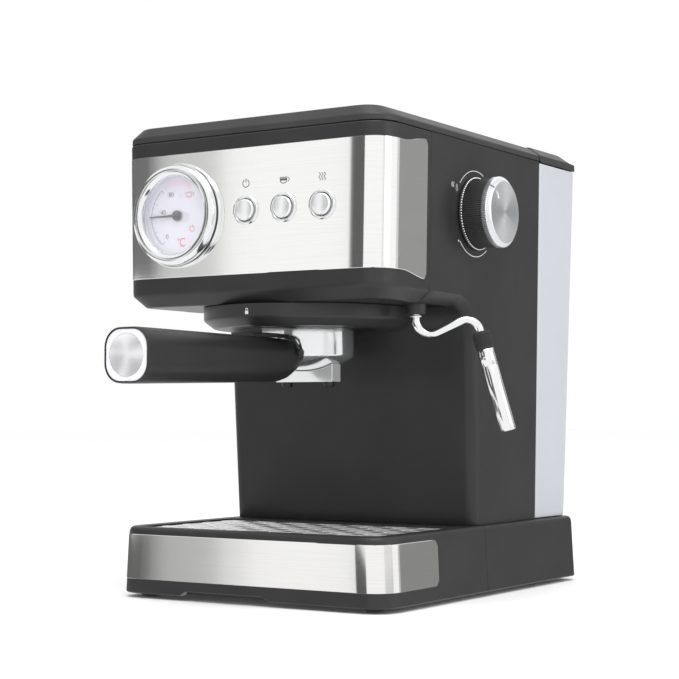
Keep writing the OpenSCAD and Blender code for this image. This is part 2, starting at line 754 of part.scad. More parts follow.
module handle_bolt() {
  color(steel) place() {
    translate([0, 40, 168]) rotate([90, 0, 0]) cylinder(r = 2.5, h = 62);
    translate([0, -22, 168]) rotate([90, 0, 0]) difference() {
      cylinder(r = 4.6, h = 5);
      translate([0, 0, 2.5]) cylinder(r = 2.2, h = 4, $fn = 6);
    }
  }
}

module spout() {
  color(chrome) at_group() difference() {
    union() {
      translate([-24, -5.6, 148]) cube([48, 11.2, 15]);
      for (x = [-17.8, 17.8]) translate([x, 0, 144.8]) cylinder(r = 3.8, h = 4);
    }
    translate([0, 0, 155.9 + bowl]) sphere(r = bowl + 0.1, $fn = 96);
    translate([0, 0, 149.8]) cylinder(r = 4.3, h = 20);
    for (x = [-17.8, 17.8]) translate([x, 0, 140]) cylinder(r = 2.6, h = 12);
    translate([-17.8, 0, 152]) rotate([0, 90, 0]) cylinder(r = 2.6, h = 35.6);
  }
}

module filter_clip() {
  color(dark) place() {
    translate([-6, 16, 179]) cube([12, 20, 2.4]);
    for (x = [-9, 6.1]) translate([x, 36, 179.5]) rotate([0, 90, 0]) cylinder(r = 1.9, h = 2.9);
    translate([-9, 36, 179.5]) rotate([0, 90, 0]) cylinder(r = 1.2, h = 18);
  }
}

// ---------------------------------------------------------- drip tray
module drip_tray() {
  color(dark) place() difference() {
    translate([-95.5, 8.5, 12.5]) cube([191, 109, 31]);
    translate([-93, 11, 15]) cube([186, 104, 40]);
  }
}

module drip_grille() {
  color(steel) place() difference() {
    union() {
      translate([-95.5, 8.5, 43.8]) cube([191, 109, 1.2]);
      translate([-92.4, 11.6, 39.5]) difference() {
        cube([184.8, 102.8, 4.4]);
        translate([1.2, 1.2, -1]) cube([182.4, 100.4, 10]);
      }
    }
    for (j = [0:7]) for (i = [0:5 + (j % 2)])
      translate([-72 + 28 * i - (j % 2) * 14 - 9, 20 + 12 * j, 40]) cube([18, 5, 10]);
  }
}

// ---------------------------------------------------------- water tank
module tank_block(z0, z1, i) {
  hull() {
    slab(z0) translate([0, shell_back + 1 + i]) outline(hw(z0) - i, 0, yr(z0) - shell_back - 1 - 2 * i, 3, 5);
    slab(z1 - 0.02) translate([0, shell_back + 1 + i]) outline(hw(z1) - i, 0, yr(z1) - shell_back - 1 - 2 * i, 3, 5);
  }
}

module water_tank() {
  color([0.8, 0.83, 0.86, 0.6]) place() {
    difference() {
      union() {
        difference() {
          tank_block(46.9, 315, 0);
          tank_block(49.6, 316, 2.6);
        }
        // socket over the spigot
        translate([valve_x, valve_y, 47]) cylinder(r = 11, h = 9.2);
        // guide bridge over the valve
        for (s = [-1, 1]) translate([valve_x + s * 12.5 - 1.5, valve_y - 3, 48]) cube([3, 6, 22]);
        translate([valve_x - 14, valve_y - 3, 69]) cube([28, 6, 2]);
        // hinge lugs of the lid
        for (x = [-60, 60]) translate([x - 3, pin_y - 2.9, 305]) cube([6, 5.8, 12.5]);
        for (x = [-60, 60]) translate([x - 3, pin_y, pin_z]) rotate([0, 90, 0]) cylinder(r = 2.9, h = 6);
        for (x = [-60, 60]) translate([x - 3, pin_y - 2.9, 316]) cube([6, 5.8, pin_z - 316]);
      }
      translate([valve_x, valve_y, 40]) cylinder(r = 7.3, h = 20);
      translate([valve_x, valve_y, 60]) cylinder(r = 2.05, h = 20);
      for (x = [-60, 60]) translate([x - 10, pin_y, pin_z]) rotate([0, 90, 0]) cylinder(r = 1.55, h = 20);
    }
  }
}

module tank_valve() {
  color([0.9, 0.9, 0.88]) place() translate([valve_x, valve_y, 0]) {
    translate([0, 0, 56.5]) cylinder(r = 10, h = 2);
    translate([0, 0, 54.1]) cylinder(r = 5, h = 2.5);
    translate([0, 0, 58.4]) cylinder(r = 2, h = 16);
  }
}

module valve_spring() {
  color(steel) place() translate([valve_x, valve_y, 59.1]) coil(4.2, 0.45, 9.2, 4);
}

module tank_lid() {
  color(black) place() difference() {
    union() {
      hull() {
        slab(316) translate([0, pin_y]) outline(108.5, 0, body_d - pin_y, 0, 8);
        slab(321) translate([0, pin_y]) outline(108.5, 0, body_d - pin_y, 0, 8);
      }
      hull() {
        slab(321) translate([0, pin_y]) outline(108.5, 0, body_d - pin_y, 0, 8);
        slab(lid_top - 0.02) translate([0, pin_y]) outline(98.5, 0, 50, 0, 6);
      }
      translate([-108.5, pin_y - 3.6, 318]) cube([217, 3.7, 5.8]);
      // round front edge about the hinge pin
      translate([-98.5, pin_y, pin_z]) rotate([0, 90, 0]) cylinder(r = lid_top - pin_z, h = 197);
    }
    // hollow under the lid
    translate([-98, pin_y + 6, 310]) cube([196, 42, 14.5]);
    // notches for the two lugs
    for (x = [-60, 60]) translate([x - 3.4, pin_y - 6, 312]) cube([6.8, 11, pin_z - 312 + 3.4]);
    for (x = [-60, 60]) translate([x - 3.4, pin_y, pin_z]) rotate([0, 90, 0]) cylinder(r = 3.7, h = 6.8);
    translate([-75, pin_y, pin_z]) rotate([0, 90, 0]) cylinder(r = 1.5, h = 150);
  }
}

module lid_pin() {
  color(steel) place() for (x = [-60, 60]) translate([x - 9, pin_y, pin_z]) rotate([0, 90, 0]) cylinder(r = 1.5, h = 18);
}

base_front();
base_rear();
base_plate();
feet();
base_band();
body_shell();
head_front();
head_underside();
front_panel();
top_cover();
group_collar();
group_head();
group_gasket();
shower_screen();
screen_screw();
boiler();
boiler_screws();
pump();
water_hoses();
steam_valve();
steam_pipe();
control_board();
cord_inlet();
gauge_housing();
gauge_dial();
gauge_bezel();
gauge_lens();
gauge_needle();
button_rings();
button_power();
button_coffee();
button_steam();
spring_power();
spring_coffee();
spring_steam();
switch_board();
knob_ring();
knob_body();
knob_cap();
valve_stem();
wand_boss();
wand_tube();
wand_grip();
wand_sleeve();
portafilter_cup();
filter_basket();
handle();
handle_cap();
handle_bolt();
spout();
filter_clip();
drip_tray();
drip_grille();
water_tank();
tank_lid();
lid_pin();
tank_valve();
valve_spring();
tank_spigot();
housing_screws();
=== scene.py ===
"""Espresso machine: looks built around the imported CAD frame."""
import math

import bmesh
import bpy
from mathutils import Matrix, Vector


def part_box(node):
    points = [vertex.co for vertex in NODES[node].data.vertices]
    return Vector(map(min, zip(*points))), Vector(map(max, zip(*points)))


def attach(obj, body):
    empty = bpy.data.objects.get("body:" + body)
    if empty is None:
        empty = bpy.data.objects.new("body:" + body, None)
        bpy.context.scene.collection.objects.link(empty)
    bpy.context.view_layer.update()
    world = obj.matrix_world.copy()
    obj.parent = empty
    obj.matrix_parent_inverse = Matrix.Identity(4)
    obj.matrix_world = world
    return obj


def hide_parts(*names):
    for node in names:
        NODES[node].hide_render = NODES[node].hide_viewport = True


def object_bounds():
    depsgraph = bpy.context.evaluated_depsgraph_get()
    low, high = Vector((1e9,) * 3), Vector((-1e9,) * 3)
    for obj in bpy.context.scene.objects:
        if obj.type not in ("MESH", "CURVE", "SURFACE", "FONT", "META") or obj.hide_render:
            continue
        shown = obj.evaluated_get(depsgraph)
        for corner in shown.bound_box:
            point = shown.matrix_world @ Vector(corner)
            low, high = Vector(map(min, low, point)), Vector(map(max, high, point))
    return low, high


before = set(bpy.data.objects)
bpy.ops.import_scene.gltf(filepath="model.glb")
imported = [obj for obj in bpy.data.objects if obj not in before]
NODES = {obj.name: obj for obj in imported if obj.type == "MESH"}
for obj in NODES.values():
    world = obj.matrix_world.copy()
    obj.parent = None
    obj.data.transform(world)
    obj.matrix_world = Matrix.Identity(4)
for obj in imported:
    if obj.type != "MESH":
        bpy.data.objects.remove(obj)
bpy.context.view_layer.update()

# Design coordinates (mm, front panel at y=0, body centre at x=0, lower edge of
# the base at z=0) are tied to the CAD by three of its faces.
_lo, _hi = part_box("top_cover")
_slo, _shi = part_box("body_shell")
OX = (_lo.x + _hi.x) / 2
OY = _slo.y - 0.0632
_blo, _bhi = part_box("base_front")
OZ = _blo.z - 0.0003
CT = 327.5   # top of the cover
PIN_Z = 323.8
LT = PIN_Z + 4.8   # top of the lid


def V(x, y, z):
    return Vector((x / 1000 + OX, y / 1000 + OY, z / 1000 + OZ))


def hw(z):
    return 109 - 0.01926 * max(0.0, 316 - z)


def yc(z):
    return 125 + 0.0457 * (200 - z)


def lerp(a, b, t):
    return a + (b - a) * t


def smooth(t):
    t = max(0.0, min(1.0, t))
    return t * t * (3 - 2 * t)


# --------------------------------------------------------------- materials
def _mat(name):
    m = bpy.data.materials.new(name)
    m.use_nodes = True
    nt = m.node_tree
    b = nt.nodes["Principled BSDF"]
    return m, nt, b


def _coords(nt, scale=(1, 1, 1)):
    tc = nt.nodes.new("ShaderNodeTexCoord")
    mp = nt.nodes.new("ShaderNodeMapping")
    mp.inputs["Scale"].default_value = scale
    nt.links.new(tc.outputs["Object"], mp.inputs["Vector"])
    return mp.outputs["Vector"]


def _noise(nt, vec, scale, detail=3.0, rough=0.55):
    n = nt.nodes.new("ShaderNodeTexNoise")
    n.inputs["Scale"].default_value = scale
    n.inputs["Detail"].default_value = detail
    n.inputs["Roughness"].default_value = rough
    nt.links.new(vec, n.inputs["Vector"])
    return n.outputs["Fac"]


def _ramp(nt, fac, stops):
    r = nt.nodes.new("ShaderNodeValToRGB")
    e = r.color_ramp.elements
    while len(e) < len(stops):
        e.new(0.5)
    for k, (p, c) in enumerate(stops):
        e[k].position = p
        e[k].color = (c[0], c[1], c[2], 1) if isinstance(c, (tuple, list)) else (c, c, c, 1)
    nt.links.new(fac, r.inputs["Fac"])
    return r.outputs["Color"]


def _range(nt, fac, lo, hi):
    m = nt.nodes.new("ShaderNodeMapRange")
    m.inputs["To Min"].default_value = lo
    m.inputs["To Max"].default_value = hi
    nt.links.new(fac, m.inputs["Value"])
    return m.outputs["Result"]


def _bump(nt, b, height, strength, dist):
    n = nt.nodes.new("ShaderNodeBump")
    n.inputs["Strength"].default_value = strength
    n.inputs["Distance"].default_value = dist
    nt.links.new(height, n.inputs["Height"])
    nt.links.new(n.outputs["Normal"], b.inputs["Normal"])


def plastic(name, col, rough=0.42, grain=0.25, grain_scale=2600, spec=0.5, var=0.12):
    """Moulded plastic: spark-eroded grain, slight tone and gloss drift."""
    m, nt, b = _mat(name)
    v = _coords(nt)
    n1 = _noise(nt, v, 22, 2)
    lo = tuple(c * (1 - var) for c in col)
    hi = tuple(c * (1 + var) for c in col)
    nt.links.new(_ramp(nt, n1, [(0.3, lo), (0.7, hi)]), b.inputs["Base Color"])
    g = _noise(nt, v, grain_scale, 2, 0.6)
    nt.links.new(_range(nt, _noise(nt, v, 60, 3), rough - 0.05, rough + 0.05), b.inputs["Roughness"])
    _bump(nt, b, g, grain, 0.00012)
    b.inputs["Specular IOR Level"].default_value = spec
    return m


def brushed(name, col, rough=0.24, stretch=(9, 9, 2600), bump=0.10, var=0.10, spread=0.04):
    """Steel brushed along the surface: fine streaks in tone, gloss and height."""
    m, nt, b = _mat(name)
    b.inputs["Metallic"].default_value = 1.0
    v = _coords(nt, stretch)
    n = _noise(nt, v, 1.0, 4, 0.7)
    lo = tuple(c * (1 - var) for c in col)
    hi = tuple(min(1, c * (1 + var)) for c in col)
    nt.links.new(_ramp(nt, n, [(0.3, lo), (0.7, hi)]), b.inputs["Base Color"])
    nt.links.new(_range(nt, n, rough - spread, rough + spread), b.inputs["Roughness"])
    _bump(nt, b, n, bump, 0.00005)
    return m


def metal(name, col, rough=0.08, smudge=0.04, bump=0.0, scale=90, metallic=1.0):
    """Plated or polished metal with faint handling haze."""
    m, nt, b = _mat(name)
    b.inputs["Metallic"].default_value = metallic
    v = _coords(nt)
    n = _noise(nt, v, scale, 4)
    lo = tuple(c * 0.965 for c in col)
    nt.links.new(_ramp(nt, n, [(0.25, lo), (0.75, col)]), b.inputs["Base Color"])
    nt.links.new(_range(nt, n, max(0.01, rough - smudge), rough + smudge), b.inputs["Roughness"])
    if bump:
        _bump(nt, b, _noise(nt, v, scale * 12, 2), bump, 0.0001)
    return m


def spun(name, col, centre, rough=0.22):
    """Lathe-spun metal face: concentric cutting rings about a +X axis."""
    m, nt, b = _mat(name)
    b.inputs["Metallic"].default_value = 1.0
    tc = nt.nodes.new("ShaderNodeTexCoord")
    sub = nt.nodes.new("ShaderNodeVectorMath")
    sub.operation = "SUBTRACT"
    sub.inputs[1].default_value = centre
    nt.links.new(tc.outputs["Object"], sub.inputs[0])
    flat = nt.nodes.new("ShaderNodeVectorMath")
    flat.operation = "MULTIPLY"
    flat.inputs[1].default_value = (0, 1, 1)
    nt.links.new(sub.outputs[0], flat.inputs[0])
    ln = nt.nodes.new("ShaderNodeVectorMath")
    ln.operation = "LENGTH"
    nt.links.new(flat.outputs[0], ln.inputs[0])
    n = nt.nodes.new("ShaderNodeTexNoise")
    n.noise_dimensions = "1D"
    n.inputs["Scale"].default_value = 3600
    n.inputs["Detail"].default_value = 3
    nt.links.new(ln.outputs["Value"], n.inputs["W"])
    f = n.outputs["Fac"]
    nt.links.new(_ramp(nt, f, [(0.3, tuple(c * 0.88 for c in col)), (0.7, col)]), b.inputs["Base Color"])
    nt.links.new(_range(nt, f, rough - 0.05, rough + 0.08), b.inputs["Roughness"])
    _bump(nt, b, f, 0.10, 0.00005)
    b.inputs["Anisotropic"].default_value = 0.85
    tg = nt.nodes.new("ShaderNodeTangent")
    tg.direction_type = "RADIAL"
    tg.axis = "X"
    nt.links.new(tg.outputs["Tangent"], b.inputs["Tangent"])
    return m


def clear(name, col, rough=0.02, ior=1.49):
    m, nt, b = _mat(name)
    v = _coords(nt)
    nt.links.new(_ramp(nt, _noise(nt, v, 40, 2), [(0.3, tuple(c * 0.99 for c in col)), (0.7, col)]), b.inputs["Base Color"])
    b.inputs["Transmission Weight"].default_value = 1.0
    b.inputs["IOR"].default_value = ior
    b.inputs["Roughness"].default_value = rough
    b.inputs["Alpha"].default_value = 0.16
    return m


def frosted(name, col):
    """Tinted translucent tank wall."""
    m, nt, b = _mat(name)
    v = _coords(nt)
    n = _noise(nt, v, 18, 3)
    nt.links.new(_ramp(nt, n, [(0.25, tuple(c * 0.955 for c in col)), (0.75, col)]), b.inputs["Base Color"])
    nt.links.new(_range(nt, _noise(nt, v, 70, 3), 0.26, 0.34), b.inputs["Roughness"])
    b.inputs["Specular IOR Level"].default_value = 0.45
    return m


M = {
    "shell": plastic("shell_plastic", (0.0218, 0.0218, 0.0228), 0.42, 0.30, 2600, 0.42),
    "cover": plastic("cover_plastic", (0.0330, 0.0330, 0.0340), 0.44, 0.28, 2600, 0.42),
    "dark": plastic("dark_plastic", (0.0260, 0.0260, 0.0268), 0.36, 0.22, 2600, 0.40),
    "handle": plastic("handle_plastic", (0.0140, 0.0140, 0.0145), 0.40, 0.34, 2200, 0.42),
    "panel": brushed("panel_steel", (0.925, 0.925, 0.915), 0.075, (14, 14, 5200), 0.03, 0.065, 0.03),
    "band": brushed("band_steel", (0.88, 0.875, 0.855), 0.075, (14, 14, 5200), 0.03, 0.065, 0.03),
    "grille": brushed("grille_steel", (0.80, 0.80, 0.79), 0.42, (9, 1800, 1800)),
    "steel": metal("plain_steel", (0.62, 0.62, 0.61), 0.28, 0.06, 0.05),
    "chrome": metal("chrome_plate", (0.90, 0.905, 0.91), 0.06, 0.03),
    "cast": metal("cast_alloy", (0.60, 0.60, 0.59), 0.42, 0.06, 0.3, 60),
    "brass": metal("machined_brass", (0.70, 0.52, 0.24), 0.25, 0.06, 0.05),
    "rubber": plastic("rubber_black", (0.029, 0.029, 0.029), 0.66, 0.35, 1800, 0.3),
    "seal": plastic("silicone_seal", (0.30, 0.07, 0.05), 0.5, 0.2, 1500),
    "hose": plastic("silicone_hose", (0.72, 0.73, 0.70), 0.4, 0.1, 900),
    "pump": plastic("pump_plastic", (0.48, 0.40, 0.22), 0.45, 0.2),
    "board": plastic("board_green", (0.02, 0.13, 0.06), 0.3, 0.2, 800, 0.5, 0.2),
    "white": plastic("white_plastic", (0.78, 0.78, 0.76), 0.4, 0.15),
    "dial": plastic("dial_white", (0.83, 0.82, 0.90), 0.38, 0.05, 1500, 0.5, 0.01),
    "ink": plastic("ink_grey", (0.10, 0.10, 0.11), 0.5, 0.05),
    "inklight": plastic("ink_light_grey", (0.40, 0.40, 0.45), 0.5, 0.05),
    "red": plastic("ink_red", (0.72, 0.10, 0.14), 0.5, 0.05),
    "pink": plastic("ink_pink", (0.84, 0.73, 0.82), 0.5, 0.05),
    "print": plastic("print_white", (0.72, 0.72, 0.72), 0.5, 0.05),
    "lens": clear("lens_clear", (0.97, 0.98, 1.0)),
    "castdark": metal("cast_alloy_coated", (0.055, 0.055, 0.058), 0.42, 0.05, 0.2, 60),
    "sleeve": metal("sleeve_chrome", (0.92, 0.92, 0.925), 0.12, 0.02),
    "knobplastic": plastic("knob_plastic", (0.040, 0.040, 0.0415), 0.40, 0.2, 2600, 0.45),
    "inkmid": plastic("pointer_grey", (0.15, 0.15, 0.155), 0.45, 0.05),
    "nozzle": metal("nozzle_steel", (0.05, 0.05, 0.052), 0.25, 0.04),
    "bezelchrome": metal("bezel_chrome", (0.90, 0.905, 0.915), 0.13, 0.03),
    "tank": frosted("tank_tint", (0.535, 0.555, 0.595)),
}

CAD_LOOK = {
    "base_plate": "dark", "feet": "rubber", "head_underside": "dark",
    "group_head": "castdark", "group_gasket": "rubber", "shower_screen": "steel", "screen_screw": "steel",
    "boiler": "cast", "boiler_screws": "steel", "pump": "pump", "water_hoses": "hose",
    "steam_valve": "brass", "steam_pipe": "brass", "control_board": "board", "cord_inlet": "dark",
    "gauge_housing": "steel", "gauge_lens": "lens", "spring_power": "steel", "spring_coffee": "steel",
    "spring_steam": "steel", "switch_board": "board", "valve_stem": "brass", "filter_basket": "steel",
    "handle_bolt": "steel", "drip_tray": "dark", "drip_grille": "grille", "lid_pin": "steel",
    "tank_valve": "white", "valve_spring": "steel", "tank_spigot": "dark", "housing_screws": "steel",
}
for n, key in CAD_LOOK.items():
    o = NODES[n]
    o.data.materials.clear()
    o.data.materials.append(M[key])


# ---------------------------------------------------------------- mesh tools
def build(name, verts, faces, mat, body, replaces=(), sharp=34, bevel=0.0, segs=2, weighted=True):
    me = bpy.data.meshes.new(name)
    me.from_pydata([tuple(v) for v in verts], [], faces)
    bm = bmesh.new()
    bm.from_mesh(me)
    bmesh.ops.remove_doubles(bm, verts=bm.verts, dist=1e-6)
    bmesh.ops.dissolve_degenerate(bm, edges=bm.edges, dist=1e-7)
    bmesh.ops.recalc_face_normals(bm, faces=bm.faces)
    if bevel:
        es = [e for e in bm.edges if len(e.link_faces) == 2 and e.calc_face_angle(0) > math.radians(sharp)]
        bmesh.ops.bevel(bm, geom=es, offset=bevel / 1000, segments=segs, profile=0.5, affect="EDGES", clamp_overlap=True)
        bmesh.ops.recalc_face_normals(bm, faces=bm.faces)
    for f in bm.faces:
        f.smooth = True
    for e in bm.edges:
        e.smooth = not (len(e.link_faces) == 2 and e.calc_face_angle(0) > math.radians(sharp if not bevel else 50))
    bm.to_mesh(me)
    bm.free()
    me.materials.append(M[mat])
    o = bpy.data.objects.new(name, me)
    bpy.context.scene.collection.objects.link(o)
    if weighted:
        w = o.modifiers.new("normals", "WEIGHTED_NORMAL")
        w.keep_sharp = True
        w.weight = 80
    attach(o, body)
    if replaces:
        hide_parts(*replaces)
    return o


def cut(o, *cutters):
    """Takes solid cutters out of a piece's mesh."""
    for c in cutters:
        md = o.modifiers.new("cut", "BOOLEAN")
        md.operation = "DIFFERENCE"
        md.solver = "EXACT"
        md.object = c
    ws = [m for m in o.modifiers if m.type == "WEIGHTED_NORMAL"]
    for w in ws:
        o.modifiers.remove(w)
    bpy.context.view_layer.update()
    me = bpy.data.meshes.new_from_object(o.evaluated_get(bpy.context.evaluated_depsgraph_get()))
    o.modifiers.clear()
    old = o.data
    o.data = me
    bpy.data.meshes.remove(old)
    bm = bmesh.new()
    bm.from_mesh(me)
    bmesh.ops.remove_doubles(bm, verts=bm.verts, dist=2e-6)
    for f in bm.faces:
        f.smooth = True
    for e in bm.edges:
        e.smooth = not (len(e.link_faces) == 2 and e.calc_face_angle(0) > math.radians(34))
    bm.to_mesh(me)
    bm.free()
    w = o.modifiers.new("normals", "WEIGHTED_NORMAL")
    w.keep_sharp = True
    w.weight = 80
    for c in cutters:
        bpy.data.objects.remove(c)
    return o


def raw(verts, faces):
    me = bpy.data.meshes.new("cutter")
    me.from_pydata([tuple(v) for v in verts], [], faces)
    bm = bmesh.new()
    bm.from_mesh(me)
    bmesh.ops.remove_doubles(bm, verts=bm.verts, dist=1e-6)
    bmesh.ops.recalc_face_normals(bm, faces=bm.faces)
    bm.to_mesh(me)
    bm.free()
    o = bpy.data.objects.new("cutter", me)
    bpy.context.scene.collection.objects.link(o)
    return o


def grid_faces(nu, nv, wrap_u=False, wrap_v=False, off=0):
    """Faces of a grid whose vertex (i, j) has index off + i*nv + j."""
    fs = []
    for i in range(nu if wrap_u else nu - 1):
        for j in range(nv if wrap_v else nv - 1):
            a, b = i, (i + 1) % nu
            c, d = j, (j + 1) % nv
            fs.append((off + a * nv + c, off + a * nv + d, off + b * nv + d, off + b * nv + c))
    return fs


def loft(rings, cap0=True, cap1=True, wrap=True):
    """Rings of equal length joined in order; the first and last may be capped."""
    n = len(rings[0])
    verts = [p for r in rings for p in r]
    faces = grid_faces(len(rings), n, False, wrap)
    if cap0:
        faces.append(tuple(range(n)))
    if cap1:
        faces.append(tuple((len(rings) - 1) * n + k for k in range(n)))
    return verts, faces


def basis(axis):
    a = Vector(axis).normalized()
    h = Vector((0, 0, 1)) if abs(a.z) < 0.9 else Vector((1, 0, 0))
    u = h.cross(a).normalized()
    return a, u, a.cross(u)


def revolve(profile, origin, axis, seg=96, closed=False, phase=0.0):
    """profile: (radius, height along axis) in mm. closed joins its last point to its first."""
    a, u, v = basis(axis)
    o = V(*origin)
    verts, faces = [], []
    n = len(profile)
    for k in range(seg):
        t = 2 * math.pi * k / seg + phase
        d = u * math.cos(t) + v * math.sin(t)
        for r, h in profile:
            verts.append(o + (d * r + a * h) / 1000)
    for k in range(seg):
        k2 = (k + 1) % seg
        for j in range(n if closed else n - 1):
            j2 = (j + 1) % n
            q = (k * n + j, k * n + j2, k2 * n + j2, k2 * n + j)
            if profile[j][0] < 1e-6 and profile[j2][0] < 1e-6:
                continue
            if profile[j][0] < 1e-6:
                q = (q[0], q[1], q[2])
            elif profile[j2][0] < 1e-6:
                q = (q[0], q[1], q[3])
            faces.append(q)
    return verts, faces


def squircle(cx, cy, a, q, n, e=3.0):
    """Corner with curvature that builds up gradually; q is its quadrant's first angle."""
    out = []
    for k in range(n + 1):
        t = math.radians(90 * k / n)
        c, d = math.cos(t) ** (2 / e), math.sin(t) ** (2 / e)
        if k == 0:
            c, d = 1.0, 0.0
        if k == n:
            c, d = 0.0, 1.0
        x, y = {0: (c, d), 90: (-d, c), 180: (-c, -d), 270: (d, -c)}[q]
        out.append((cx + a * x, cy + a * y))
    return out


def arc(cx, cy, r, a0, a1, n=6):
    return [(cx + r * math.cos(math.radians(lerp(a0, a1, k / n))), cy + r * math.sin(math.radians(lerp(a0, a1, k / n)))) for k in range(n + 1)]


def rrect(x0, x1, y0, y1, rf, rb, n=10, front=(), soft=None):
    """Closed outline, anticlockwise from the front left corner; front adds x samples to the front edge."""
    if soft:
        pts = squircle(x0 + rf, y0 + rf, rf, 180, n, soft)
        pts += [(x, y0) for x in front]
        pts += squircle(x1 - rf, y0 + rf, rf, 270, n, soft)
    else:
        pts = arc(x0 + rf, y0 + rf, rf, 180, 270, n)
        pts += [(x, y0) for x in front]
        pts += arc(x1 - rf, y0 + rf, rf, 270, 360, n)
    pts += arc(x1 - rb, y1 - rb, rb, 0, 90, n)
    pts += arc(x0 + rb, y1 - rb, rb, 90, 180, n)
    return pts


def tube(path, rad, seg=20, ends=True):
    """Round tube along a path of V points; rad is a number or one per point, in mm."""
    n = len(path)
    rs = rad if isinstance(rad, (list, tuple)) else [rad] * n
    verts = []
    ref = None
    for i, p in enumerate(path):
        t = (path[min(n - 1, i + 1)] - path[max(0, i - 1)]).normalized()
        if ref is None:
            _, ref, _ = basis(t)
        u = (ref - t * ref.dot(t)).normalized()
        ref = u
        w = t.cross(u)
        for k in range(seg):
            a = 2 * math.pi * k / seg
            verts.append(p + (u * math.cos(a) + w * math.sin(a)) * rs[i] / 1000)
    faces = grid_faces(n, seg, False, True)
    if ends:
        faces += [tuple(range(seg)), tuple((n - 1) * seg + k for k in range(seg))]
    return verts, faces


def merge(*parts):
    verts, faces = [], []
    for v, f in parts:
        o = len(verts)
        verts += list(v)
        faces += [tuple(o + i for i in q) for q in f]
    return verts, faces


def block(x0, x1, y0, y1, z0, z1):
    c = [V(x, y, z) for x in (x0, x1) for y in (y0, y1) for z in (z0, z1)]
    return c, [(0, 1, 3, 2), (4, 6, 7, 5), (0, 4, 5, 1), (2, 3, 7, 6), (0, 2, 6, 4), (1, 5, 7, 3)]


def prism(pts, a, b):
    """Closed polygon given twice, as two V rings, joined into a solid."""
    n = len(pts)
    ra = [a(*p) for p in pts]
    rb = [b(*p) for p in pts]
    return loft([ra, rb])


# U-shaped path round the front: (x fraction side, arc parameter) with its outward normal
def u_path(y_end, side_n=8, corner_n=20, front_n=16, r=26.0):
    """Stations round the front from the left side to the right: (kind, t)."""
    st = [("L", k / side_n) for k in range(side_n)]
    st += [("CL", k / corner_n) for k in range(corner_n)]
    st += [("F", k / front_n) for k in range(front_n)]
    st += [("CR", k / corner_n) for k in range(corner_n)]
    st += [("R", k / side_n) for k in range(side_n + 1)]
    return st


def u_point(st, z, inset, y_end, half, y_front, r=26.0, e=3.0):
    """Point of the U outline at height z, moved inwards by inset."""
    k, t = st
    x1 = half - inset
    y0 = y_front + inset
    rr = max(0.5, r - inset)
    if k == "L":
        return V(-x1, lerp(y_end, y0 + rr, t), z)
    if k == "CL":
        (px, py), = squircle_at(t, e)
        return V(-x1 + rr - rr * px, y0 + rr - rr * py, z)
    if k == "F":
        return V(lerp(-x1 + rr, x1 - rr, t), y0, z)
    if k == "CR":
        (py, px), = squircle_at(t, e)
        return V(x1 - rr + rr * px, y0 + rr - rr * py, z)
    return V(x1, lerp(y0 + rr, y_end, t), z)


def squircle_at(t, e):
    """Unit corner from (1, 0) at t=0 to (0, 1) at t=1."""
    a = math.radians(90 * t)
    c = 0.0 if t >= 1 else math.cos(a) ** (2 / e)
    d = 0.0 if t <= 0 else math.sin(a) ** (2 / e)
    return [(c, d)]


def side_t(st, y_end, r=18.0):
    """0 in the front region, rising to 1 at the ends of the side faces."""
    k, t = st
    if k == "L":
        return 1 - t
    if k == "R":
        return t
    return 0.0


# ------------------------------------------------------------------- casings
def head_front():
    prof = [(11.4, 203.0), (11.4, 200.9), (11.2, 200.5), (9.3, 200.5), (8.5, 200.65), (7.9, 201.1)]
    prof += [(1.5, 207.2), (0.7, 208.0), (0.25, 208.9), (0.05, 209.9), (0, 211)]
    prof += [(0, 219), (0, 240), (0, 280), (0, 307), (0, 314.6), (0.12, 315.3), (0.5, 315.75), (0.9, 315.9)]
    prof += [(3, 315.9), (3, 240), (3, 209.5), (11.4, 209.5)]
    st = u_path(62.8)
    rings = []
    for s in st:
        rings.append([u_point(s, z, i, 62.8, hw(z), 0.0) for i, z in prof])
    v, f = loft(rings)
    o = build("head_front_shell", v, f, "shell", "machine", ["head_front"])
    cs = [raw(*revolve([(0, 0), (33, 0), (33, 20), (0, 20)], (-57, -8, 262.8), (0, 1, 0), 64))]
    for x in (0.5, 31.3, 62.2):
        cs.append(raw(*revolve([(0, 0), (9.1, 0), (9.1, 20), (0, 20)], (x, -8, 263.2), (0, 1, 0), 40)))
    return cut(o, *cs)


def steel_wrap(name, z_bot, z_top, y_end, half, y_front, stand, thick, mat, node, corner, r=26.0, flare=(0, 0), soft=3.0):
    """Steel strip round the front, standing a hair proud, with rounded end corners."""
    st = u_path(y_end, 14, 26, 20)
    rows = 14
    rings = []
    side_len = y_end - ((y_front(z_bot) if callable(y_front) else y_front) + r)
    for s in st:
        e = side_t(s, y_end)
        d = (1 - e) * side_len          # distance to the end along the side
        zb = z_bot - flare[0] * smooth(e)
        zt = z_top + flare[1] * smooth(e)
        if s[0] in "LR" and d < corner:
            k = corner - math.sqrt(max(0.0, corner ** 2 - (corner - d) ** 2))
            zb += k
            zt -= k
        e0 = 0.25
        col = [(thick, zb), (-stand + e0, zb), (-stand, zb + e0)]
        col += [(-stand, lerp(zb, zt, j / rows)) for j in range(1, rows)]
        col += [(-stand, zt - e0), (-stand + e0, zt), (thick, zt)]
        rings.append([u_point(s, z, i, y_end, half(z), y_front(z) if callable(y_front) else y_front, r, soft) for i, z in col])
    v, f = loft(rings)
    return build(name, v, f, mat, "machine", [node], sharp=40)


